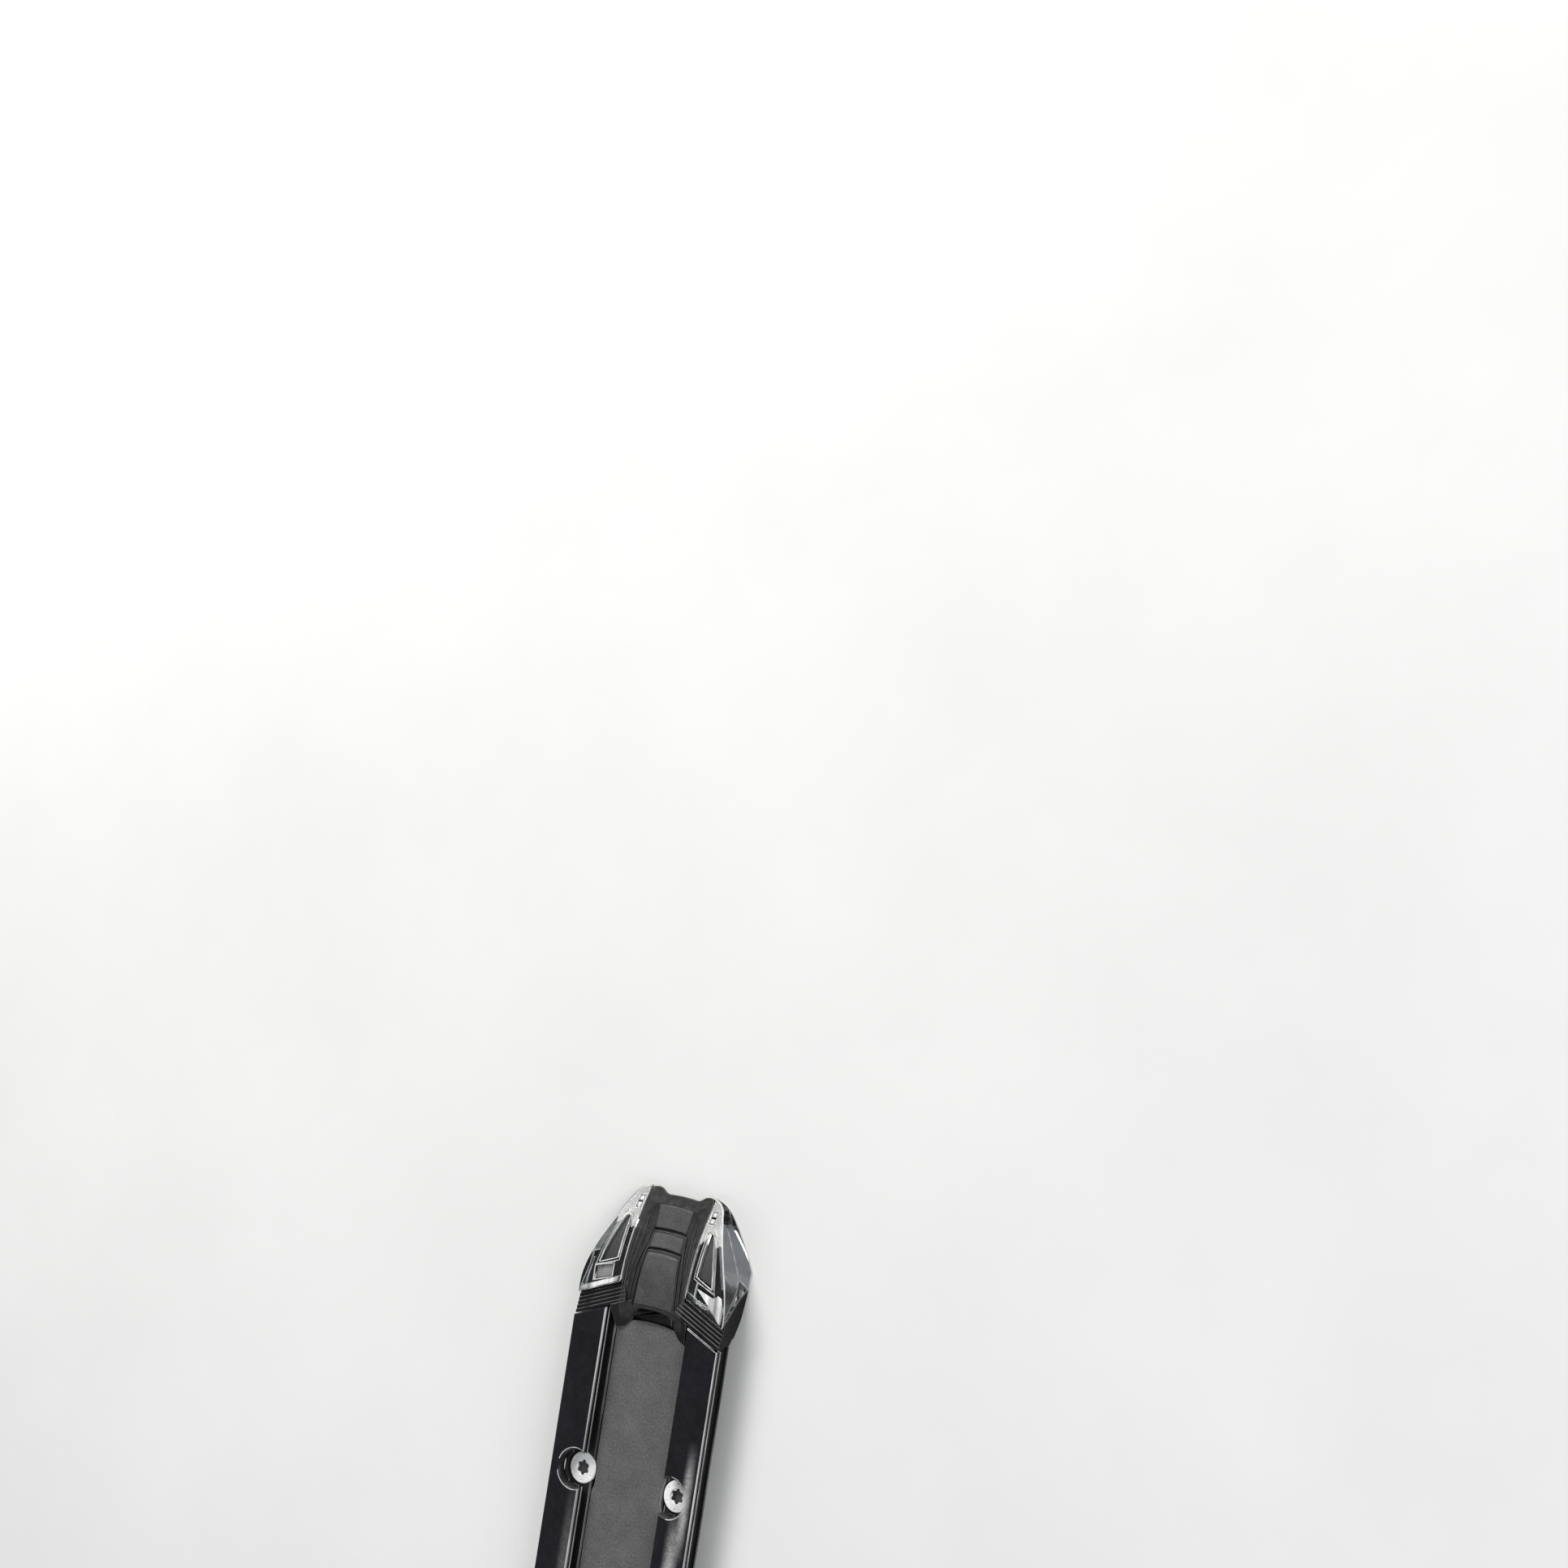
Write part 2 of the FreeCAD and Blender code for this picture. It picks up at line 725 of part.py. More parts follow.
def make_rack_rivets():
    shapes = []
    for i, y in enumerate(rivet_places()):
        shank = doc.addObject("Part::Cylinder", "rivet_shank_%d" % (i + 1))
        shank.Radius = 0.97
        shank.Height = band_thick.number - 0.05
        shank.setExpression("Height", (band_thick - 0.05).text)
        shank.setExpression("Placement.Base.y", y.text)
        shank.setExpression("Placement.Base.z", (band_top - band_thick).text)
        head = doc.addObject("Part::Cone", "rivet_head_%d" % (i + 1))
        head.Radius1 = 0.97
        head.Radius2 = 1.87
        head.Height = 0.9
        head.setExpression("Placement.Base.y", y.text)
        head.setExpression("Placement.Base.z", (band_top - 0.95).text)
        shapes.append(fuse("rivet_%d" % (i + 1), shank, head))
    group = doc.addObject("Part::Compound", "rack_rivets")
    group.Links = shapes
    return group


# ---------------------------------------------------------------- rear bridge
def make_rear_bridge():
    body = new_body("rear_bridge")
    low = ledge_top
    section = [
        (web_outer, low),
        (web_outer, bridge_top - 0.8),
        (web_outer - 1.5, bridge_top),
        (-web_outer + 1.5, bridge_top),
        (-web_outer, bridge_top - 0.8),
        (-web_outer, low),
        (-band_half - 0.4, low),
        (-band_half - 0.4, low + 0.3),
        (band_half + 0.4, low + 0.3),
        (band_half + 0.4, low),
    ]
    pad_along(body, "beam", section, track_rear + 1, rail_rear - 0.2)
    screws = [(side * bridge_screw_x, bridge_middle(), 1.6) for _, side in SIDES]
    pocket_down(body, "screw_holes", [], bridge_top, None, screws)
    heads = [(x, y, 3.2) for x, y, _ in screws]
    pocket_down(body, "head_seats", [], bridge_top, 1.6, heads)
    ribs = [box_points(-11.5 + 5 * i, -8.5 + 5 * i, track_rear + 3, rail_rear - 2.2) for i in range(5)]
    ribs.remove(ribs[2])
    pocket_down(body, "relief", ribs, bridge_top, 1.0)
    sketch = body_sketch(body, "pin_socket_outline", "XY", low + 0.3)
    draw_circle(sketch, 0, bridge_middle(), 1.55)
    feature(body, "Pocket", "pin_socket", sketch, 1.2, reverse=True)
    return body


def make_bridge_screw(label, side):
    x = side * bridge_screw_x
    y = bridge_middle()
    head = doc.addObject("Part::Cylinder", "bridge_head_" + label)
    head.Radius = 3.1
    head.Height = 1.5
    shank = doc.addObject("Part::Cylinder", "bridge_shank_" + label)
    shank.Radius = 1.28
    socket = doc.addObject("Part::Prism", "bridge_socket_" + label)
    socket.Polygon = 6
    socket.Circumradius = 1.3
    socket.Height = 1.1
    under = bridge_top - 1.6
    bottom = ledge_top - 4.5
    shank.Height = (under - bottom).number + 0.2
    shank.setExpression("Height", (under - bottom + 0.2).text)
    levels = ((head, under), (shank, bottom), (socket, under + 0.5))
    for item, z in levels:
        item.Placement.Base = Vector(x.number, y.number, z.number)
        item.setExpression("Placement.Base.x", x.text)
        item.setExpression("Placement.Base.y", y.text)
        item.setExpression("Placement.Base.z", z.text)
    rod = fuse("bridge_rod_" + label, head, shank)
    return cut("bridge_screw_" + label, rod, socket)


def make_float_pin():
    pin = doc.addObject("Part::Cylinder", "float_pin")
    pin.Radius = 1.48
    bottom = channel_floor - 2.9
    top = ledge_top + 1.3
    pin.Height = (top - bottom).number
    pin.setExpression("Height", (top - bottom).text)
    pin.setExpression("Placement.Base.y", bridge_middle().text)
    pin.setExpression("Placement.Base.z", bottom.text)
    return pin


# ---------------------------------------------------------------- end cap and lenses
def ahead(distance):
    """Y of a point that lies a distance ahead of the front screws."""
    return front_row + distance


def crown_outline(drop):
    """Side view of the cap's top: flat, then an arc, then a straight slope down to the tip."""
    fall = (crown_end_height - tip_height) / (cap_tip - crown_end)
    over = 2.0
    return [
        (ahead(40), -1),
        (cap_tip + over, -1),
        (cap_tip + over, tip_height - fall * over - drop),
        (crown_end, crown_end_height - drop, -crown_radius),
        (crown_start, crown_flat - drop),
        (ahead(40), crown_flat - drop),
    ]


def wing_mass(label, side):
    """Solid with the wing's outer wall: it leans out in front and in at the rear."""
    foot = [
        (0, ahead(40)),
        (foot_half, ahead(40)),
        (foot_half, ahead(45.8), -60),
        (27.3, ahead(55.6), -160),
        (28.5, ahead(69.5), -71),
        (19.3, ahead(84.0), -10.9),
        (12.4, ahead(88.2)),
        (0, ahead(88.2)),
    ]
    crest = [
        (0, ahead(40)),
        (rail_outer, ahead(40)),
        (rail_outer, ahead(45.8), -90),
        (27.4, ahead(55.6), -26.4),
        (22.05, ahead(69.5), -67.5),
        (10.2, ahead(84.0), -10.1),
        (7.0, ahead(88.2)),
        (0, ahead(88.2)),
    ]
    low = free_sketch("wing_foot_" + label, "XY", 0, mirrored(foot, side))
    high = free_sketch("wing_crest_" + label, "XY", rail_top, mirrored(crest, side))
    mass = doc.addObject("Part::Loft", "wing_mass_" + label)
    mass.Sections = [low, high]
    mass.Solid = True
    mass.Ruled = True
    return mass


def slab(name, side, x0, x1, y0, y1, z0, z1):
    """Plain block on one side of the middle."""
    return prism(name, "XY", mirrored(box_points(x0, x1, y0, y1), side), z0, z1)


def ahead_of_lens_edge(label, side):
    """Everything in front of the lens's slanted rear face."""
    foot = lens_rear + lens_slant * crown_flat
    points = [
        (foot, 0),
        (cap_tip + 60, 0),
        (cap_tip + 60, rail_top),
        (lens_rear - lens_slant * (rail_top - crown_flat), rail_top),
    ]
    return slanted("lens_front_space_" + label, points, side, 40.0)


def terrace_steps():
    """Stairs in side view, from the lens's edge up towards the rear."""
    points = []
    for i in range(terrace_count):
        step = crown_flat - terrace_rise * (terrace_count - 1 - i)
        face = lens_rear - 0.25 - i * terrace_pitch
        points.append((face, step - terrace_rise - 0.08))
        points.append((face - 0.3, step))
    return points


def terrace_outline():
    """Section of the stepped terraces between the lens and the rail."""
    front = [
        (lens_rear + lens_slant * (crown_flat - 0.05) - 0.25, 0.05),
        (lens_rear - 0.25 + lens_slant * 1.3, crown_flat - 1.3),
    ]
    return front + terrace_steps() + [(wing_rear, crown_flat), (wing_rear, 0.05)]


def make_step_space(label, side):
    """The space above the stairs, which the middle and the legs stay out of."""
    points = terrace_steps() + [
        (wing_rear - 1, crown_flat),
        (wing_rear - 1, 14),
        (lens_rear - 0.25, 14),
    ]
    return slanted("step_space_" + label, points, side, 12.2)


WINDOW_SLOPE = 0.375


def window_outline(inset):
    """Long three-cornered window over the pad, with small corner flats."""
    inner = 15.0 + inset
    rear_inner = 65.3 + inset * 1.1
    rear_outer = rear_inner - WINDOW_SLOPE * (6.3 - inset * 2.2)
    return [
        (inner, ahead(rear_inner)),
        (21.3 - inset * 1.2, ahead(rear_outer)),
        (20.9 - inset * 1.2, ahead(rear_outer + 1.9), -44),
        (16.9 - inset * 0.6, ahead(77.6 - inset * 2)),
        (16.2 - inset * 0.3, ahead(78.5 - inset * 2)),
        (inner + 0.3, ahead(78.4 - inset * 2)),
        (inner, ahead(77.7 - inset * 2)),
    ]


def facet_outline():
    """Four-cornered shallow recess behind the window."""
    return [
        (15.6, ahead(59.3)),
        (22.3, ahead(56.9)),
        (22.5, ahead(61.7)),
        (15.8, ahead(63.6)),
    ]


def core_outline(grow):
    """Dark body of the cap below the lens."""
    return [
        (lens_inner - 0.3, wing_rear + 1 - wing_slope * 11.85),
        (25.2 + grow, wing_rear + 1 - wing_slope * (25.2 + grow)),
        (25.2 + grow, ahead(57)),
        (24.2 + grow, ahead(62.5)),
        (21.2 + grow, ahead(70)),
        (17.2 + grow, ahead(78.4 + grow)),
        (15.6 + grow, ahead(80.2 + grow)),
        (lens_inner - 0.3, ahead(80.2 + grow)),
    ]


CLIP_REAR = 80.9
CLIP_FRONT = 84.6


def make_lens(label, side, mass):
    over = prism("lens_crown_" + label, "YZ", crown_outline(0), -40, 40)
    keep = slab("lens_zone_" + label, side, lens_inner, 40, ahead(40), cap_tip + 10, 0.1, 12)
    blank = common("lens_blank_" + label, mass, over, keep, ahead_of_lens_edge(label, side))
    inside = prism("lens_core_" + label, "XY", mirrored(core_outline(0.25), side), 0, 12)
    ceiling = prism("lens_ceiling_" + label, "YZ", crown_outline(lens_skin), -40, 40)
    hollow = common("lens_hollow_" + label, inside, ceiling)
    window = prism("lens_window_" + label, "XY", mirrored(window_outline(0), side), 0, 12)
    facet = prism("facet_zone_" + label, "XY", mirrored(facet_outline(), side), 0, 12)
    below = prism("facet_floor_" + label, "YZ", crown_outline(1.0), -40, 40)
    recess = cut("facet_recess_" + label, facet, below)
    clip_inner = lens_inner + 0.9
    clip_outer = lens_inner + 2.6
    ends = (ahead(CLIP_REAR), ahead(CLIP_FRONT))
    clip = slab("clip_slot_" + label, side, clip_inner, clip_outer, *ends, 0, 12)
    tools = fuse("lens_tools_" + label, hollow, window, recess, clip)
    return cut("lens_" + label, blank, tools)


def make_window_pad(label, side):
    """Matte insert that shows through the lens's window."""
    plan = prism("pad_plan_" + label, "XY", mirrored(window_outline(0.22), side), 0, 12)
    top = prism("pad_top_" + label, "YZ", crown_outline(0.75), -40, 40)
    under = prism("pad_under_" + label, "YZ", crown_outline(lens_skin + 0.2), -40, 40)
    return cut("window_pad_" + label, common("pad_upper_" + label, plan, top), under)


# Heights of the channel's floor at distances ahead of the front screws.
TREAD_LEVELS = (
    (44, 7.45),
    (55, 7.75),
    (60, 7.75),
    (64.3, 7.5),
    (69, 6.5),
    (75, 4.9),
    (83.6, 3.1),
    (87.2, 0.7),
    (90, -1.1),
)


def tread_level(y):
    for (y0, z0), (y1, z1) in zip(TREAD_LEVELS, TREAD_LEVELS[1:]):
        if y <= y1:
            return z0 + (z1 - z0) * (y - y0) / (y1 - y0)
    return TREAD_LEVELS[-1][1]


def channel_section(y, half, lens_height):
    """Trough across the cap's middle: flat floor, walls that lean out to the lenses."""
    floor = tread_level(y)
    lean = (cap_inner.number - half) / max(lens_height - floor, 0.4)
    top = 14.0
    spread = half + lean * (top - floor)
    return [(-half, floor), (half, floor), (spread, top), (-spread, top)]


def make_channel():
    """What is hollowed out of the cap's middle to leave the treads' floor and side walls."""
    stations = (
        (44, 9.9, 9.7),
        (55, 9.7, 9.7),
        (64.3, 9.1, 9.1),
        (69, 8.4, 8.3),
        (75, 7.6, 6.9),
        (83.6, 7.6, 3.6),
        (90, 6.4, -0.3),
    )
    sections = []
    for i, (y, half, height) in enumerate(stations):
        points = channel_section(y, half, height)
        sections.append(free_sketch("channel_section_%d" % (i + 1), "XZ", ahead(y), points))
    channel = doc.addObject("Part::Loft", "channel")
    channel.Sections = sections
    channel.Solid = True
    channel.Ruled = True
    return channel


GROOVE = 0.8
CREASE = 0.4


def tread_floor_outline(drop):
    """Side view of the space above the channel's floor, lowered by a drop."""
    ys = (44, 55, 64.3, 69, 75, 83.6, 87.2, 90)
    points = [(ahead(y), tread_level(y) - drop) for y in ys]
    return points + [(ahead(90), 14), (ahead(44), 14)]


def make_tread_grooves():
    """Grooves that set off the three overlapping treads."""
    parts = []
    bulge = 45.0
    for name, y, half in (("rear", 69.4, 6.3), ("front", 75.3, 6.0)):
        points = [
            (half, ahead(y + 0.9), -bulge),
            (-half, ahead(y + 0.9)),
            (-half - 0.4, ahead(y), bulge),
            (half + 0.4, ahead(y)),
        ]
        parts.append(prism("groove_across_" + name, "XY", points, -1, 13))
    # creases where the walls meet the treads: one beside the rear tread, one beside the next
    creases = {
        "inner": ((6.25, 69.8), (6.6, 65.0), (7.2, 59.5), (7.65, 52), (7.7, 44)),
        "outer": ((6.2, 75.8), (7.0, 70.5), (8.5, 63), (8.9, 55), (9.0, 44)),
    }
    for label, side in SIDES:
        for name, path in creases.items():
            near = [(x, ahead(y)) for x, y in path]
            far = [(x + CREASE, ahead(y)) for x, y in path]
            points = mirrored(near + far[::-1], side)[::-1]
            parts.append(prism("crease_" + name + "_" + label, "XY", points, -1, 13))
    plan = fuse("groove_plan", *parts)
    above = prism("groove_depth", "YZ", tread_floor_outline(GROOVE), -40, 40)
    return common("tread_grooves", plan, above)


def middle_outline():
    """Plan of the cap's middle with its two horns in front and the arched lip at the rear."""
    return [
        (-cap_inner, wing_rear - wing_slope * cap_inner),
        (-8.8, wing_rear - wing_slope * 8.8),
        (-7.6, ahead(48.6)),
        (-6.9, ahead(50.6)),
        (-5.6, ahead(51.5), 34.0),
        (5.6, ahead(51.5)),
        (6.9, ahead(50.6)),
        (7.6, ahead(48.6)),
        (8.8, wing_rear - wing_slope * 8.8),
        (cap_inner, wing_rear - wing_slope * cap_inner),
        (cap_inner, ahead(86.8)),
        (11.2, ahead(87.9)),
        (9.6, ahead(88.2)),
        (8.2, ahead(87.9)),
        (7.0, ahead(86.9)),
        (5.6, ahead(86.4), -60.0),
        (-5.6, ahead(86.4)),
        (-7.0, ahead(86.9)),
        (-8.2, ahead(87.9)),
        (-9.6, ahead(88.2)),
        (-11.2, ahead(87.9)),
        (-cap_inner, ahead(86.8)),
    ]


def make_leg(label, side):
    """Sloping finger that reaches back over the band's edge."""
    plan = [
        (8.0, wing_rear - wing_slope * 8.0),
        (7.6, ahead(48.4)),
        (7.8, ahead(47.4)),
        (8.3, ahead(46.4)),
        (9.3, ahead(45.4)),
        (12.9, ahead(44.2)),
        (14.3, ahead(50.0)),
        (14.4, wing_rear - wing_slope * 14.4),
    ]
    finger = prism("leg_plan_" + label, "XY", mirrored(plan, side), ledge_top + 0.3, 12)
    # the finger's top falls to the rear and towards the middle
    level = 9.5 - leg_tilt * 14.3
    profile = [
        (ahead(39.8), level - leg_fall * 10),
        (ahead(59.8), level + leg_fall * 10),
        (ahead(59.8), 20),
        (ahead(39.8), 20),
    ]
    sketch = free_sketch("leg_top_outline_" + label, "YZ", 0, profile)
    above = doc.addObject("Part::Extrusion", "leg_top_" + label)
    above.Base = sketch
    above.DirMode = "Custom"
    above.Solid = True
    above.Dir = Vector(side * 20, 0, leg_tilt.number * 20)
    above.setExpression("Dir.z", leg_tilt.text + " * 20")
    above.LengthFwd = 0
    return cut("leg_" + label, finger, above)


def make_cap_core(label, side):
    """Dark inner body of a wing, under the lens."""
    plan = prism("core_plan_" + label, "XY", mirrored(core_outline(0), side), 0.05, 12)
    top = prism("core_top_" + label, "YZ", crown_outline(lens_skin + 0.25), -40, 40)
    return common("core_" + label, plan, top)


def make_terraces(label, side, mass):
    block = slanted("terrace_block_" + label, terrace_outline(), side, 40.0)
    # their inner ends curve in towards the channel from the lens to the leg
    zone_plan = [
        (9.3, ahead(40)),
        (40, ahead(40)),
        (40, cap_tip),
        (lens_inner, cap_tip),
        (lens_inner, ahead(58.3)),
        (10.6, ahead(56.7)),
        (9.8, ahead(55.0)),
        (9.4, ahead(53.4)),
    ]
    zone = prism("terrace_zone_" + label, "XY", mirrored(zone_plan, side), 0.05, 12)
    return common("terraces_" + label, mass, block, zone)


def make_end_cap(masses):
    block = prism("middle_plan", "XY", middle_outline(), 0.05, 12)
    crown = prism("middle_crown", "YZ", crown_outline(0.1), -40, 40)
    trough = fuse("channel_tools", make_channel(), make_tread_grooves())
    spaces = [make_step_space(label, side) for label, side in SIDES]
    trough = fuse("middle_tools", trough, *spaces)
    parts = [cut("middle_block", common("middle_blank", block, crown), trough)]
    for label, side in SIDES:
        parts.append(make_leg(label, side))
        parts.append(make_cap_core(label, side))
        parts.append(make_terraces(label, side, masses[label]))
    outer = fuse("cap_outer", *parts)
    tunnel = [
        (-tongue_neck - slide_gap, -1),
        (tongue_neck + slide_gap, -1),
        (tongue_neck + slide_gap, tongue_step - slide_gap),
        (tongue_half + slide_gap, tongue_step - slide_gap),
        (tongue_half + slide_gap, tongue_top + slide_gap),
        (-tongue_half - slide_gap, tongue_top + slide_gap),
        (-tongue_half - slide_gap, tongue_step - slide_gap),
        (-tongue_neck - slide_gap, tongue_step - slide_gap),
    ]
    inside = prism("tongue_tunnel", "XZ", tunnel, ahead(40), tongue_front + 0.4)
    bay = prism(
        "band_bay",
        "XY",
        box_points(-band_half - 0.4, band_half + 0.4, ahead(40), band_front + band_forward + 0.5),
        -1,
        ledge_top + 0.3,
    )
    side_bays = []
    for label, side in SIDES:
        plan = [
            (14.0, ahead(55)),
            (23.6, ahead(52.5)),
            (23.6, ahead(57)),
            (20.0, ahead(66)),
            (14.6, ahead(76)),
            (14.0, ahead(76)),
        ]
        side_bays.append(prism("wing_bay_" + label, "XY", mirrored(plan, side), -1, 2.6))
        sill = [
            (wing_rear - 1, -1),
            (wing_rear + sill_reach + slide_gap, -1),
            (wing_rear + sill_reach + slide_gap, foot_height + slide_gap),
            (wing_rear - 1, foot_height + slide_gap),
        ]
        side_bays.append(slanted("sill_bay_" + label, sill, side, 40.0))
    tools = fuse("cap_tools", inside, bay, *side_bays)
    return cut("end_cap", outer, tools)


# ---------------------------------------------------------------- build and export
def main():
    nodes = [make_track_base()]
    for label, place in zip(("front", "rear"), damping_places()):
        nodes.append(make_damping_pad(label, place))
    for label, side in SIDES:
        nodes.append(make_rail(label, side))
    for row_label, row in ROWS:
        for label, side in SIDES:
            nodes.append(make_mounting_screw(row_label + "_" + label, side * screw_x, row))
    nodes += [make_centre_band(), make_lock_rack(), make_rack_rivets()]
    nodes += [make_rear_bridge(), make_float_pin()]
    for label, side in SIDES:
        nodes.append(make_bridge_screw(label, side))
    masses = {label: wing_mass(label, side) for label, side in SIDES}
    for label, side in SIDES:
        nodes.append(make_lens(label, side, masses[label]))
        nodes.append(make_window_pad(label, side))
    nodes.append(make_end_cap(masses))

    doc.recompute()
    faults = [o.Name for o in doc.Objects if "Invalid" in o.State or "Error" in o.State]
    if faults:
        raise RuntimeError("objects with errors: " + ", ".join(faults))
    os.makedirs("parts", exist_ok=True)
    for node in nodes:
        shape = node.Shape
        if shape.isNull() or not shape.isValid() or shape.Volume <= 0:
            raise RuntimeError("bad shape: " + node.Label)
        shape.exportStep("parts/%s.step" % node.Label)
        print("%-28s solids %d  volume %.1f" % (node.Label, len(shape.Solids), shape.Volume))


main()
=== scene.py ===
import json
import math

import bmesh
import bpy
from mathutils import Euler, Matrix, Vector

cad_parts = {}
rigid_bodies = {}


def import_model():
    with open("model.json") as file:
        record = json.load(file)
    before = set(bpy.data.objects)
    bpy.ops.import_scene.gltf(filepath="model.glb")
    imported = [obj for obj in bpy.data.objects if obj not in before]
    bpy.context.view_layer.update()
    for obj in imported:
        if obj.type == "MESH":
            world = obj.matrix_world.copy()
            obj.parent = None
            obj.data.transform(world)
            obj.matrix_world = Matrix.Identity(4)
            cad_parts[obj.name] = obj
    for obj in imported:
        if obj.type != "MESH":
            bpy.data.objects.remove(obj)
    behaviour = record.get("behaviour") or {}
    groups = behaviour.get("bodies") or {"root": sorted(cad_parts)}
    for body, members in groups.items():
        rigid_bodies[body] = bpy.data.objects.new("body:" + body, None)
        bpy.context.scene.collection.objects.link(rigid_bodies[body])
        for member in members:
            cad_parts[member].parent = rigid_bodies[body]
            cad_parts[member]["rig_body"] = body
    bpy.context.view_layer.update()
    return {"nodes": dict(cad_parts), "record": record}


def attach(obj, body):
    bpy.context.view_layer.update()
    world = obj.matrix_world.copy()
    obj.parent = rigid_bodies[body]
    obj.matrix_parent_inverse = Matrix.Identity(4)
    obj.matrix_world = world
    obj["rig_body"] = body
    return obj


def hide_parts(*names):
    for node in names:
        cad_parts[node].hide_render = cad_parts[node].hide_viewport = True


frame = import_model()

NODES = frame["nodes"]
RECORD = frame["record"]
scene = bpy.context.scene

MM = 0.001
SCREW_PATTERN = next(m["dims"] for m in RECORD["mounts"] if m["name"] == "ski_screws")
SCREW_X = SCREW_PATTERN["spacing_x_mm"] / 2000
FRONT_ROW = SCREW_PATTERN["spacing_y_mm"] / 2000
END_SLANT = 0.412           # how far the rails' and lenses' slanted ends go back per unit of width
RAIL_FRONT = 0.11165        # front end of the rails, carried to the middle of the track
SOCKET_SHADE_DEPTH = (5.2, 5.5)   # heights in mm between which a screw's socket turns dark, as painted shade


# ------------------------------------------------------------------ shader helper
def shade(value):
    """A grey or a colour as RGBA."""
    if isinstance(value, (int, float)):
        return (value, value, value, 1)
    return tuple(value) + ((1,) if len(value) == 3 else ())


class Shader:
    """A small helper round one material's node tree. Values that come from a node are passed as
    (node, socket)."""

    def __init__(self, name):
        self.material = bpy.data.materials.new(name)
        self.material.use_nodes = True
        self.tree = self.material.node_tree
        self.tree.nodes.clear()
        self.output = self.add("ShaderNodeOutputMaterial")
        self.principled = self.add("ShaderNodeBsdfPrincipled")
        self.link(self.principled, "BSDF", self.output, "Surface")
        self.coords = self.add("ShaderNodeTexCoord")

    def add(self, kind, **settings):
        node = self.tree.nodes.new(kind)
        for key, value in settings.items():
            setattr(node, key, value)
        return node

    def link(self, source, out, target, into):
        self.tree.links.new(source.outputs[out], target.inputs[into])

    def set(self, **values):
        for key, value in values.items():
            self.principled.inputs[key.replace("_", " ")].default_value = value

    def space(self, stretch=(1, 1, 1)):
        node = self.add("ShaderNodeMapping")
        node.inputs["Scale"].default_value = stretch
        self.link(self.coords, "Object", node, "Vector")
        return node

    def noise(self, per_metre, detail=2.0, roughness=0.5, stretch=(1, 1, 1)):
        node = self.add("ShaderNodeTexNoise")
        node.inputs["Scale"].default_value = per_metre
        node.inputs["Detail"].default_value = detail
        node.inputs["Roughness"].default_value = roughness
        self.link(self.space(stretch), "Vector", node, "Vector")
        return node

    def ramp(self, source, out, low, high, at=(0.3, 0.7)):
        """Colour ramp between two greys or colours."""
        node = self.add("ShaderNodeValToRGB")
        for stop, position, value in zip(node.color_ramp.elements, at, (low, high)):
            stop.position = position
            stop.color = shade(value)
        self.link(source, out, node, "Fac")
        return node

    def mix(self, factor, first, second, blend="MIX"):
        """Mix two colours; each is (node, socket) or a colour."""
        node = self.add("ShaderNodeMix", data_type="RGBA", blend_type=blend)
        sockets = [s for s in node.inputs if s.type == "RGBA"]
        for socket, value in zip(sockets, (first, second)):
            if isinstance(value, tuple) and hasattr(value[0], "outputs"):
                self.tree.links.new(value[0].outputs[value[1]], socket)
            else:
                socket.default_value = shade(value)
        if isinstance(factor, tuple):
            self.tree.links.new(factor[0].outputs[factor[1]], node.inputs["Factor"])
        else:
            node.inputs["Factor"].default_value = factor
        return node, [s.type for s in node.outputs].index("RGBA")

    def math(self, operation, *values):
        node = self.add("ShaderNodeMath", operation=operation)
        for i, value in enumerate(values):
            if isinstance(value, tuple):
                self.tree.links.new(value[0].outputs[value[1]], node.inputs[i])
            else:
                node.inputs[i].default_value = value
        return node, "Value"

    def fade(self, pair, start, end, low=0.0, high=1.0):
        """Smooth step from low to high as the value goes from start to end."""
        span = self.add("ShaderNodeMapRange", interpolation_type="SMOOTHSTEP")
        for socket, value in zip(("From Min", "From Max", "To Min", "To Max"), (start, end, low, high)):
            span.inputs[socket].default_value = value
        self.tree.links.new(pair[0].outputs[pair[1]], span.inputs["Value"])
        return span, "Result"

    def place(self):
        """X, Y and Z in the object's frame, in metres."""
        split = self.add("ShaderNodeSeparateXYZ")
        self.link(self.coords, "Object", split, "Vector")
        return (split, "X"), (split, "Y"), (split, "Z")

    def zone(self, limits):
        """1 inside a soft-edged box; limits are (axis, middle, half size, soft edge) in mm."""
        axes = self.place()
        total = None
        for axis, middle, half, soft in limits:
            off = self.math("ABSOLUTE", self.math("SUBTRACT", axes[axis], middle * MM))
            inside = self.fade(off, (half + soft) * MM, half * MM)
            total = inside if total is None else self.math("MULTIPLY", total, inside)
        return total

    def bump(self, sources):
        """Stack of bumps; sources are ((node, socket), depth in metres)."""
        last = None
        for (node, out), depth in sources:
            bump = self.add("ShaderNodeBump")
            bump.inputs["Strength"].default_value = 1.0
            bump.inputs["Distance"].default_value = depth
            self.link(node, out, bump, "Height")
            if last:
                self.link(last, "Normal", bump, "Normal")
            last = bump
        self.link(last, "Normal", self.principled, "Normal")

    def colour_from(self, pair):
        self.tree.links.new(pair[0].outputs[pair[1]], self.principled.inputs["Base Color"])

    def rough_from(self, pair):
        self.tree.links.new(pair[0].outputs[pair[1]], self.principled.inputs["Roughness"])


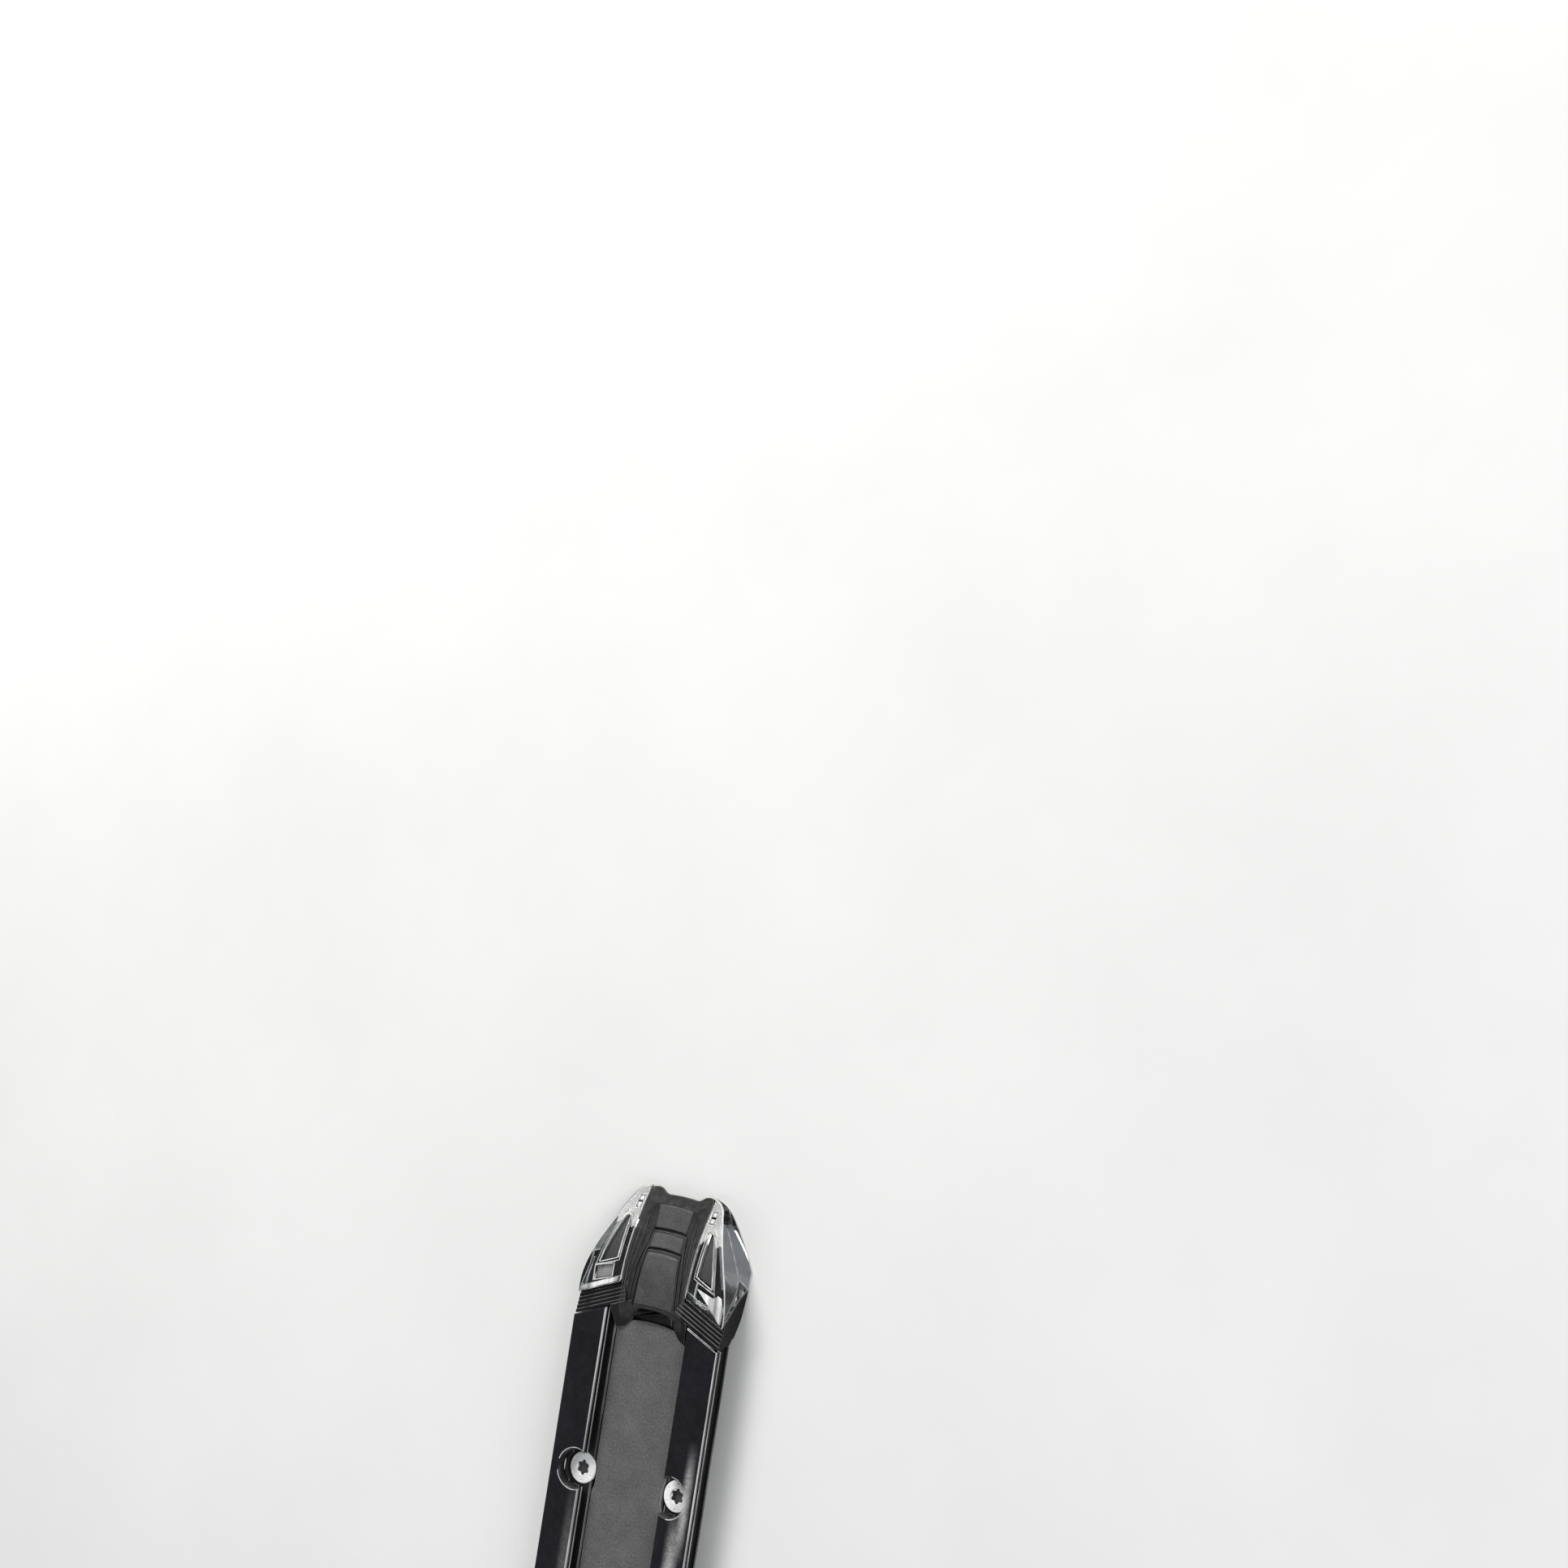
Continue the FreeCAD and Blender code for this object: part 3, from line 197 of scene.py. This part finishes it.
# ------------------------------------------------------------------ kinds of material
def moulded_plastic(name, dark, light, rough, grain=0.00002, ior=1.45, painted_light_zones=(), gloss=0.5):
    """Moulded plastic: fine grain over slow mottling. A zone is (limits, colour, strength): an area
    painted lighter as painted light, broken up by noise."""
    s = Shader(name)
    slow = s.noise(140, 4, 0.6)
    fine = s.noise(3800, 3, 0.65)
    patches = s.noise(420, 5, 0.6)
    colour = (s.ramp(slow, "Fac", dark, light), "Color")
    # each zone lays painted light over the plastic's own colour
    for limits, tint, strength in painted_light_zones:
        broken = s.fade((patches, "Fac"), 0.2, 0.7, strength * 0.6, strength)
        colour = s.mix(s.math("MULTIPLY", s.zone(limits), broken), colour, tint)
    speck = s.ramp(s.noise(1500, 5, 0.75), "Fac", 0.62, 1.38, (0.34, 0.66))
    s.colour_from(s.mix(1.0, colour, (speck, "Color"), "MULTIPLY"))
    s.rough_from(s.fade((patches, "Fac"), 0.3, 0.7, *rough))
    s.bump((((fine, "Fac"), grain), ((s.noise(1300, 4, 0.6), "Fac"), grain * 1.4)))
    s.set(IOR=ior, Specular_IOR_Level=gloss)
    return s.material


def painted_highlight(name, dark, light, rough=0.3, transmission=0.0):
    """Painted highlight for rounded edges: smooth and light, more in some places than in others."""
    s = Shader(name)
    # noise breaks up the painted highlight along the edge
    highlight_breakup = s.noise(420, 4, 0.6, (1, 0.12, 1))
    s.colour_from((s.ramp(highlight_breakup, "Fac", dark, light, (0.36, 0.6)), "Color"))
    s.rough_from(s.fade((s.noise(900, 3, 0.6), "Fac"), 0.3, 0.7, rough * 0.7, rough * 1.3))
    s.bump((((s.noise(2600, 3, 0.6), "Fac"), 0.000008),))
    s.set(IOR=1.5, Transmission_Weight=transmission)
    return s.material


def metal(name, dark, light, rough, stretch=(1, 1, 1), metallic=1.0, painted_shade_below=None):
    """Bare or plated metal with fine brushed lines and cloudy roughness. Below the given heights it is
    painted dark: painted shade in the bottom of a socket."""
    s = Shader(name)
    cloud = s.noise(600, 4, 0.6)
    lines = s.noise(2600, 3, 0.7, stretch)
    base = s.ramp(cloud, "Fac", dark, light)
    speck = s.ramp(lines, "Fac", 0.86, 1.08)
    colour = s.mix(1.0, (base, "Color"), (speck, "Color"), "MULTIPLY")
    if painted_shade_below:
        height = s.place()[2]
        # painted shade in the socket
        colour = s.mix(s.fade(height, painted_shade_below[0] * MM, painted_shade_below[1] * MM), 0.09, colour)
    s.colour_from(colour)
    s.rough_from(s.fade((cloud, "Fac"), 0.3, 0.7, *rough))
    s.bump((((lines, "Fac"), 0.000006),))
    s.set(Metallic=metallic)
    return s.material


def clear_plastic(name, painted_shade):
    """Polished clear lens with faint flow ripples and fine scuffs, and painted shade in one zone."""
    s = Shader(name)
    ripples = s.noise(180, 2, 0.5)
    scuffs = s.noise(5200, 4, 0.75, (1, 0.25, 1))
    body = s.ramp(ripples, "Fac", (0.64, 0.66, 0.68), (0.86, 0.87, 0.88))
    # painted shade: the lens's colour turns dark grey in the zone
    s.colour_from(s.mix(s.zone(painted_shade), (body, "Color"), (0.2, 0.21, 0.22)))
    s.rough_from(s.fade((scuffs, "Fac"), 0.5, 0.8, 0.01, 0.09))
    s.bump((((ripples, "Fac"), 0.00002), ((scuffs, "Fac"), 0.000001)))
    s.set(IOR=1.5, Transmission_Weight=1.0)
    return s.material


def paper(name):
    """Pale studio paper."""
    s = Shader(name)
    cloud = s.noise(6, 4, 0.6)
    s.colour_from((s.ramp(cloud, "Fac", (0.74, 0.74, 0.735), (0.8, 0.8, 0.795)), "Color"))
    s.bump((((s.noise(900, 3, 0.6), "Fac"), 0.00003),))
    s.set(Roughness=0.7)
    return s.material


# ------------------------------------------------------------------ the object's materials
# zone limits are (axis, middle, half size, soft edge) in mm
# painted shade at the front of the lenses, where the dark inside of the cap shows through
PAINTED_SHADE_LENS_FRONT = ((0, 0, 15.5, 2.5), (1, 141.0, 6.5, 3.0))
# painted light: the middle of the end cap round the treads is painted lighter than the rest of the
# moulding, where light falls on it
PAINTED_LIGHT_INNER_CAP = ((0, 0, 11.6, 0.5), (1, 119.5, 14.5, 3.5))
# painted highlights on the rails: a streak by the outside of the right rail's screw pocket, a fan
# spreading from it to the rear, and a faint sheen near the left rail's inner edge
PAINTED_HIGHLIGHT_RAIL_RIGHT = ((0, 24.3, 0.05, 2.2), (1, 54.0, 2.0, 18.0))
PAINTED_HIGHLIGHT_FAN_RAIL_RIGHT = ((0, 21.9, 0.05, 3.2), (1, 22.0, 12.0, 20.0))
PAINTED_SHEEN_RAIL_LEFT = ((0, -16.8, 0.05, 2.8), (1, 6.0, 20.0, 32.0))

looks = {
    "base_plastic": moulded_plastic("base_plastic", 0.006, 0.011, (0.42, 0.6)),
    "pad_rubber": moulded_plastic("pad_rubber", 0.012, 0.02, (0.75, 0.9), 0.00004),
    "rail_plastic": moulded_plastic(
        "rail_plastic",
        (0.0035, 0.0035, 0.0052),
        (0.0095, 0.0095, 0.013),
        (0.34, 0.46),
        0.00003,
        ior=1.36,
        # the rails' zones are painted highlights
        painted_light_zones=((PAINTED_HIGHLIGHT_FAN_RAIL_RIGHT, 0.42, 0.85), (PAINTED_HIGHLIGHT_RAIL_RIGHT, 0.45, 0.85), (PAINTED_SHEEN_RAIL_LEFT, 0.12, 0.7)),
    ),
    "screw_steel": metal("screw_steel", 0.93, 1.0, (0.25, 0.36), metallic=0.05, painted_shade_below=SOCKET_SHADE_DEPTH),
    "bridge_plastic": moulded_plastic("bridge_plastic", 0.012, 0.02, (0.42, 0.6)),
    "dark_steel": metal("dark_steel", 0.06, 0.12, (0.3, 0.45)),
    "band_composite": moulded_plastic("band_composite", 0.085, 0.115, (0.46, 0.6), 0.00003),
    "rack_steel": metal("rack_steel", 0.26, 0.38, (0.42, 0.56), (1, 0.06, 1)),
    # the cap's zone is painted light on its middle
    "cap_plastic": moulded_plastic(
        "cap_plastic", 0.004, 0.009, (0.42, 0.58), ior=1.4, painted_light_zones=((PAINTED_LIGHT_INNER_CAP, 0.03, 1.0),), gloss=0.28
    ),
    "lens_clear": clear_plastic("lens_clear", PAINTED_SHADE_LENS_FRONT),
    "window_matt": moulded_plastic("window_matt", 0.03, 0.045, (0.5, 0.65)),
}
# painted highlights: the light colour given to the rounded edges of each material
edge_highlights = {
    "base_plastic": painted_highlight("base_edge", 0.05, 0.26),
    "pad_rubber": painted_highlight("pad_edge", 0.02, 0.03, 0.7),
    "rail_plastic": painted_highlight("rail_edge", 0.28, 0.6),
    "screw_steel": painted_highlight("screw_edge", 0.8, 0.95, 0.2),
    "bridge_plastic": painted_highlight("bridge_edge", 0.03, 0.08),
    "dark_steel": painted_highlight("dark_steel_edge", 0.1, 0.2),
    "band_composite": painted_highlight("band_edge", 0.1, 0.22),
    "rack_steel": painted_highlight("rack_edge", 0.4, 0.62, 0.3),
    "cap_plastic": painted_highlight("cap_edge", 0.03, 0.1, 0.35),
    "lens_clear": painted_highlight("lens_edge", 0.75, 0.95, 0.08, 0.35),
    "window_matt": painted_highlight("window_edge", 0.05, 0.09),
}
tread_look = moulded_plastic("tread_grain", 0.045, 0.065, (0.42, 0.58), 0.00003)
# painted highlight: bright colour on the lens beads
bead_highlight_look = painted_highlight("lens_bead_highlight", 0.4, 0.97, 0.06, 0.3)
# painted glare on the lenses
glare_look = painted_highlight("lens_painted_glare", 0.3, 0.95, 0.35, 0.1)
# painted light on the left lens's facet
facet_light_look = painted_highlight("lens_facet_painted_light", 0.1, 0.26, 0.18)


# ------------------------------------------------------------------ pieces with rounded edges
EDGE_WIDTH = {              # width of the rounding in mm
    "rail_plastic": 0.16,
    "base_plastic": 0.2,
    "screw_steel": 0.12,
    "band_composite": 0.1,
    "cap_plastic": 0.13,
    "lens_clear": 0.26,
    "pad_rubber": 0.1,
    "window_matt": 0.1,
    "bridge_plastic": 0.2,
    "dark_steel": 0.08,
    "rack_steel": 0.06,
}
POCKET_RADIUS = 0.0061
PLAIN_NEAR_SCREW = {        # edges this near a screw's axis, in metres, stay as they are
    "screw_steel": 0.0045,
    "rail_plastic": POCKET_RADIUS,
    "base_plastic": 0.0064,
}
MERGE = 2e-6                        # corners nearer than this become one
FLAT = math.radians(1.0)            # faces that meet at less than this are joined
ROUNDED = math.radians(28)          # outer edges sharper than this are rounded
CREASED = math.radians(36)          # edges sharper than this show as creases
CORNER_START = 0.1                  # from here to the front the right rail's inner edge gets the painted highlight
RAIL_OUTER = 0.024                  # the rails' outer edges lie outside this
END_STRIP = 0.0008                  # width of the strip along a rail's front end


def from_screw(at):
    """Distance in plan from the axis of the nearest mounting screw."""
    return math.hypot(abs(at.x) - SCREW_X, abs(at.y) - FRONT_ROW)


def rail_edge_without_highlight(at):
    """Edges of the rails left without the painted highlight: inside the screw pockets, the outer edge
    and the front end on the left, and the inner edge on the right."""
    if from_screw(at) < POCKET_RADIUS:
        return True
    if at.x > 0:
        return at.x < SCREW_X and at.y < CORNER_START
    return at.x < -RAIL_OUTER or at.y - END_SLANT * at.x > RAIL_FRONT - END_STRIP


def edges_to_round(bm, slot):
    """Outer edges that are sharp and long enough to be rounded."""
    width = EDGE_WIDTH[slot] * MM
    edges = []
    for edge in bm.edges:
        if len(edge.link_faces) != 2 or not edge.is_convex:
            continue
        middle = (edge.verts[0].co + edge.verts[1].co) / 2
        if from_screw(middle) < PLAIN_NEAR_SCREW.get(slot, 0.0):
            continue
        if edge.calc_face_angle(0.0) > ROUNDED and edge.calc_length() > width * 0.6:
            edges.append(edge)
    return edges


def is_rail_chamfer(face, slot):
    tilt = face.normal
    return slot == "rail_plastic" and 0.5 < abs(tilt.z) < 0.9 and abs(tilt.x) > 0.4


def soften(node, slot):
    """A piece in place of a CAD node: the same shape with its outer edges rounded off, and the
    rounding in a second material, a painted highlight."""
    bm = bmesh.new()
    bm.from_mesh(NODES[node].data)
    bmesh.ops.remove_doubles(bm, verts=bm.verts, dist=MERGE)
    bmesh.ops.dissolve_limit(
        bm, angle_limit=FLAT, verts=bm.verts, edges=bm.edges, use_dissolve_boundaries=False
    )
    bm.normal_update()
    edges = edges_to_round(bm, slot)
    for face in bm.faces:
        # the rails' chamfers get the painted edge highlight too
        face.material_index = 1 if is_rail_chamfer(face, slot) else 0
    bmesh.ops.bevel(
        bm,
        geom=edges,
        offset=EDGE_WIDTH[slot] * MM,
        offset_type="OFFSET",
        segments=2,
        profile=0.5,
        affect="EDGES",
        clamp_overlap=False,
        material=1,
        loop_slide=True,
    )
    for face in bm.faces:
        face.smooth = True
        # rail edges where the painted highlight is left off go back to the main material
        if slot == "rail_plastic" and face.material_index and rail_edge_without_highlight(face.calc_center_median()):
            face.material_index = 0
    for edge in bm.edges:
        edge.smooth = len(edge.link_faces) == 2 and edge.calc_face_angle(0.0) < CREASED
    mesh = bpy.data.meshes.new(node + "_soft")
    bm.to_mesh(mesh)
    bm.free()
    mesh.materials.append(looks[slot])
    mesh.materials.append(edge_highlights[slot])
    piece = bpy.data.objects.new(node + "_soft", mesh)
    scene.collection.objects.link(piece)
    level = piece.modifiers.new("even_shading", "WEIGHTED_NORMAL")
    level.keep_sharp = True
    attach(piece, NODES[node]["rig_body"])
    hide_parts(node)


# ------------------------------------------------------------------ details of the end cap
# Distances are in mm: x to the side, y ahead of the front screws, z up from the ski.
LENS_TOP = 9.7              # level part of the lens's top
ARC_START = 56              # from here the top curves down
ARC_END = 80.1              # from here it slopes straight down
ARC_RADIUS = 60
NOSE_TOP = 4.64
NOSE_FALL = 0.4506
LENS_REAR = 63.4            # the lens's slanted rear edge, carried to the middle

WINDOW = [
    (15.0, 65.3), (21.3, 62.7), (20.9, 64.6), (20.2, 67.6), (19.1, 71.2), (18.0, 74.6), (16.9, 77.6),
    (16.2, 78.5), (15.3, 78.4), (15.0, 77.7),
]
WINDOW_OUTER = [
    (14.2, 64.7), (22.4, 61.5), (21.9, 64.4), (21.1, 67.6), (20.0, 71.3), (18.8, 75.0), (17.6, 78.2),
    (16.6, 79.5), (15.0, 79.4), (14.2, 78.2),
]
FACET = [
    (15.9, 59.2), (21.8, 57.1), (22.3, 57.4), (22.5, 61.2), (22.1, 61.6), (16.2, 63.3), (15.8, 63.0),
    (15.6, 59.6),
]
# outline of the painted light under the left facet
FACET_LIGHT_OUTLINE = [(15.9, 59.6), (22.0, 57.4), (22.2, 61.2), (16.1, 63.0)]
GLARE = [
    (16.0, 62.2), (21.0, 58.0), (25.6, 53.6), (26.4, 53.3), (26.7, 55.5), (26.4, 58.5), (25.4, 61.0),
    (24.0, 61.6), (22.6, 60.4),
]
CLIP_SIDES = (13.2, 14.6)
CLIP_PLATES = (("rear", 81.1, 82.5), ("front", 83.1, 84.4))

# (distance, height) of the grooves' floor and (distance, half width) of the treads
TREAD_LEVEL = (
    (44, 7.45), (55, 7.75), (60, 7.75), (64.3, 7.5), (69, 6.5), (75, 4.9), (83.6, 3.1), (87.2, 0.7),
)
TREAD_HALF = (
    (48, 7.5), (51, 7.35), (54.1, 7.25), (59.2, 6.9), (64.3, 6.4), (69.2, 5.9), (75.2, 5.7), (83.6, 6.45),
)
TREAD_RISE = 0.32
TREAD_SWELL = 0.12
TREAD_FLOOR = 0.4           # thickness below the rim
END_DROP = {0: -0.75, 0.012: -0.2, 0.988: -0.2, 1: -0.75}
SIDE_DROP = {0.95: -0.03, 0.985: -0.2, 1: -0.75}
TREADS = (("rear", 52.6, 68.9, 0.5), ("middle", 70.3, 74.8, 0.45), ("front", 76.3, 83.3, 0.35))

# (distance, half width of the floor) and (distance, height of the wall's upper edge)
WALL_FOOT = ((44, 9.9), (55, 9.7), (64.3, 9.1), (69, 8.4), (75, 7.6), (83.6, 7.6))
WALL_TOP = ((44, 9.7), (55, 9.7), (64.3, 9.1), (69, 8.3), (75, 6.9), (83.6, 3.6))
WALL_OUTER = 12.0
WALL_LINES = ((0.3, 57.0, 79.0), (0.62, 56.6, 76.0), (0.85, 56.2, 73.0))
LINE_STEPS = 24
BEAD_SIDES = 8


def new_piece(name, vertices, faces, material):
    """A piece of the end cap; vertices are in metres."""
    mesh = bpy.data.meshes.new(name)
    mesh.from_pydata(vertices, [], faces)
    mesh.materials.append(material)
    mesh.polygons.foreach_set("use_smooth", [True] * len(mesh.polygons))
    mesh.update()
    piece = bpy.data.objects.new(name, mesh)
    scene.collection.objects.link(piece)
    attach(piece, "cap")


def between(table, at):
    """Linear interpolation in a table of (position, value)."""
    for (a, low), (b, high) in zip(table, table[1:]):
        if at <= b:
            return low + (high - low) * (at - a) / (b - a)
    return table[-1][1]


def lens_height(y):
    """Height of the lens's top."""
    if y < ARC_START:
        return LENS_TOP
    if y < ARC_END:
        return LENS_TOP - ARC_RADIUS + math.sqrt(ARC_RADIUS**2 - (y - ARC_START) ** 2)
    return NOSE_TOP - (y - ARC_END) * NOSE_FALL


def on_lens(points, side, lift):
    """Points (x, y) laid on the lens's top, lifted by lift mm."""
    return [(side * x, FRONT_ROW / MM + y, lens_height(y) + lift) for x, y in points]


def spread_points(corners, step):
    """Points every step mm or so along the straight runs of a closed outline."""
    points = []
    for (x0, y0), (x1, y1) in zip(corners, corners[1:] + corners[:1]):
        n = max(1, round(math.hypot(x1 - x0, y1 - y0) / step))
        points += [(x0 + (x1 - x0) * i / n, y0 + (y1 - y0) * i / n) for i in range(n)]
    return points


def bead(name, path, radius, closed=True, look=bead_highlight_look):
    """Thin moulded bead along a path of (x, y, z), by default in the painted highlight of the lens beads.
    """
    points = [Vector(p) * MM for p in path]
    count = len(points)
    vertices = []
    for i, point in enumerate(points):
        here = points[(i + 1) % count] if closed or i + 1 < count else point
        back = points[i - 1] if closed or i else point
        along = (here - back).normalized()
        out = along.cross(Vector((0, 0, 1))).normalized()
        up = out.cross(along)
        for k in range(BEAD_SIDES):
            a = 2 * math.pi * k / BEAD_SIDES
            vertices.append(tuple(point + (out * math.cos(a) + up * math.sin(a)) * radius * MM))
    faces = []
    for i in range(count if closed else count - 1):
        j = (i + 1) % count
        for k in range(BEAD_SIDES):
            n = (k + 1) % BEAD_SIDES
            faces.append(
                (i * BEAD_SIDES + k, i * BEAD_SIDES + n, j * BEAD_SIDES + n, j * BEAD_SIDES + k)
            )
    if not closed:
        faces.append(tuple(range(BEAD_SIDES - 1, -1, -1)))
        faces.append(tuple((count - 1) * BEAD_SIDES + k for k in range(BEAD_SIDES)))
    new_piece(name, vertices, faces, look)


def plate(name, outline, side, lift, thick, material):
    """Thin plate that follows the lens's top; outline is anticlockwise on the right-hand side."""
    loop = spread_points(outline, 0.6)
    if side < 0:
        loop = loop[::-1]
    count = len(loop)
    middle_x = sum(p[0] for p in loop) / count
    middle_y = sum(p[1] for p in loop) / count
    rings = []
    for share, drop in ((1.0, thick), (1.0, 0.03), (0.97, 0.0), (0.6, 0.0), (0.25, 0.0)):
        ring = [(middle_x + (x - middle_x) * share, middle_y + (y - middle_y) * share) for x, y in loop]
        rings.append(on_lens(ring, side, lift - drop))
    vertices = [(x * MM, y * MM, z * MM) for ring in rings for x, y, z in ring]
    faces = [tuple(range(count - 1, -1, -1))]
    for r in range(len(rings) - 1):
        for i in range(count):
            j = (i + 1) % count
            faces.append((r * count + i, r * count + j, (r + 1) * count + j, (r + 1) * count + i))
    last = (len(rings) - 1) * count
    tip = len(vertices)
    vertices.append(tuple(c * MM for c in on_lens([(middle_x, middle_y)], side, lift)[0]))
    for i in range(count):
        faces.append((last + i, last + (i + 1) % count, tip))
    new_piece(name, vertices, faces, material)


def edge_strip(x0, x1, low, high):
    """Outline of a strip along the lens's rear edge, between two distances ahead of it."""
    def ahead(x, by):
        return x, LENS_REAR - END_SLANT * x + by

    return [ahead(x0, low), ahead(x1, low), ahead(x1, high), ahead(x0, high)]


def make_tread(name, rear, front, bow):
    """Crowned tread between two distances. Its ends are bowed forwards and its rim slopes down
    into the groove around it."""
    across = [-1, -0.985, -0.95, -0.9] + [i / 10 for i in range(-8, 9)] + [0.9, 0.95, 0.985, 1]
    along = [0, 0.012, 0.035, 0.07] + [i / 14 for i in range(2, 13)] + [0.93, 0.965, 0.988, 1]
    vertices = []
    for v in along:
        for u in across:
            y = rear + (front - rear) * v
            half = between(TREAD_HALF, y)
            crown = 1 - u * u
            y += bow * crown
            drop = min(END_DROP.get(v, 0.0), SIDE_DROP.get(abs(u), 0.0))
            z = between(TREAD_LEVEL, y) + TREAD_RISE + TREAD_SWELL * crown + drop
            vertices.append((u * half * MM, FRONT_ROW + y * MM, z * MM))
    wide = len(across)
    long = len(along)
    faces = []
    for j in range(long - 1):
        for i in range(wide - 1):
            a = j * wide + i
            faces.append((a, a + 1, a + wide + 1, a + wide))
    rim = list(range(wide)) + [j * wide + wide - 1 for j in range(1, long)]
    rim += [(long - 1) * wide + i for i in range(wide - 2, -1, -1)]
    rim += [j * wide for j in range(long - 2, 0, -1)]
    under = len(vertices)
    for i in rim:
        x, y, z = vertices[i]
        vertices.append((x, y, z - TREAD_FLOOR * MM))
    count = len(rim)
    for i in range(count):
        j = (i + 1) % count
        faces.append((rim[j], rim[i], under + i, under + j))
    faces.append(tuple(under + i for i in range(count - 1, -1, -1)))
    new_piece(name, vertices, faces, tread_look)


def make_lens_details():
    """Window beads and clip plates on both lenses, and the facets. The beads and the facet pieces are
    painted highlights, glare and light.
    """
    for label, side in (("left", -1), ("right", 1)):
        # the window beads carry the painted highlight
        bead("window_rim_" + label, on_lens(spread_points(WINDOW, 0.8), side, -0.02), 0.17)
        bead("window_frame_" + label, on_lens(spread_points(WINDOW_OUTER, 0.8), side, -0.03), 0.12)
        x0, x1 = CLIP_SIDES
        for place, rear, front in CLIP_PLATES:
            name = "clip_plate_%s_%s" % (place, label)
            outline = [(x0, rear), (x1, rear), (x1, front), (x0, front)]
            # the clip plates take the rack's light edge colour: their own light steel with a painted
            # sheen
            plate(name, outline, side, -0.25, 0.5, edge_highlights["rack_steel"])
    # painted light on the left facet only: a bright rim and a grey sheet under it
    bead("facet_rim_left", on_lens(spread_points(FACET, 0.8), -1, -0.03), 0.13)
    plate("painted_light_facet_left", FACET_LIGHT_OUTLINE, -1, -0.85, 0.1, facet_light_look)
    # painted glare: a light strip along the left lens's rear edge and a light patch by the right window
    plate("painted_glare_strip_left", edge_strip(13.2, 26.6, 0.5, 1.9), -1, 0.03, 0.1, glare_look)
    plate("painted_glare_facet_right", GLARE, 1, 0.03, 0.1, glare_look)


def make_wall_lines():
    """Raised lines along the walls beside the treads, at shares of the way from foot to top, in the cap's
    painted edge highlight.
    """
    for label, side in (("left", -1), ("right", 1)):
        for i, (share, rear, front) in enumerate(WALL_LINES):
            path = []
            for k in range(LINE_STEPS + 1):
                y = rear + (front - rear) * k / LINE_STEPS
                foot = between(WALL_FOOT, y)
                low = between(TREAD_LEVEL, y)
                x = foot + (WALL_OUTER - foot) * share
                z = low + (between(WALL_TOP, y) - low) * share
                path.append((side * x, FRONT_ROW / MM + y, z + 0.02))
            name = "wall_line_%s_%d" % (label, i + 1)
            bead(name, path, 0.11, False, edge_highlights["cap_plastic"])


# ------------------------------------------------------------------ stage
FLOOR_HALF = 3.0
FLOOR_Z = -0.0001           # just below the ski face, so that the two don't meet
AIM = (0, 0.05, 0)
LIGHTS = (                  # name, place, target, size, watts, colour
    ("key", (-0.5, 0.95, 0.75), (0, 0.08, 0), (0.8, 0.5), 14, (1, 0.99, 0.97)),
    ("fill", (0.95, 0.35, 0.6), AIM, (0.6, 0.6), 5.5, (1, 1, 1)),
    ("back", (-0.2, -1.0, 0.5), AIM, (0.9, 0.4), 5.5, (1, 1, 1)),
)
SKY_COLOUR = (0.93, 0.96, 1, 1)
SKY_STRENGTH = 0.26
CAMERA_PLACE = (0.49904, 0.24048, 0.71271)
CAMERA_TURN = (7.9562, 33.5469, 10.6706)    # degrees about X, Y and Z
FOCAL_LENGTH = 65.26


def make_floor():
    mesh = bpy.data.meshes.new("floor")
    signs = ((-1, -1), (1, -1), (1, 1), (-1, 1))
    corners = [(x * FLOOR_HALF, y * FLOOR_HALF, FLOOR_Z) for x, y in signs]
    mesh.from_pydata(corners, [], [(0, 1, 2, 3)])
    mesh.materials.append(paper("floor_paper"))
    floor = bpy.data.objects.new("floor", mesh)
    scene.collection.objects.link(floor)


def make_lights():
    world = bpy.data.worlds.new("studio")
    world.use_nodes = True
    sky = world.node_tree.nodes["Background"]
    sky.inputs["Color"].default_value = SKY_COLOUR
    sky.inputs["Strength"].default_value = SKY_STRENGTH
    scene.world = world
    for name, place, target, size, watts, colour in LIGHTS:
        data = bpy.data.lights.new(name, "AREA")
        data.shape = "RECTANGLE"
        data.size, data.size_y = size
        data.energy = watts
        data.color = colour
        lamp = bpy.data.objects.new(name, data)
        lamp.location = place
        lamp.rotation_mode = "QUATERNION"
        lamp.rotation_quaternion = (Vector(target) - Vector(place)).to_track_quat("-Z", "Y")
        scene.collection.objects.link(lamp)


def make_camera():
    data = bpy.data.cameras.new("camera")
    data.sensor_width = 36.0
    data.lens = FOCAL_LENGTH
    data.clip_start = 0.02
    data.clip_end = 20
    camera = bpy.data.objects.new("camera", data)
    turn = Euler([math.radians(a) for a in CAMERA_TURN], "XYZ").to_matrix()
    camera.matrix_world = Matrix.Translation(CAMERA_PLACE) @ turn.to_4x4()
    scene.collection.objects.link(camera)
    scene.camera = camera


# ------------------------------------------------------------------ everything in order
for part in RECORD["subparts"]:
    soften(part["node"], part["material_slot"])
make_lens_details()
make_wall_lines()
for place, rear, front, bow in TREADS:
    make_tread("tread_" + place, rear, front, bow)
make_floor()
make_lights()
make_camera()
scene.view_settings.view_transform = "Standard"
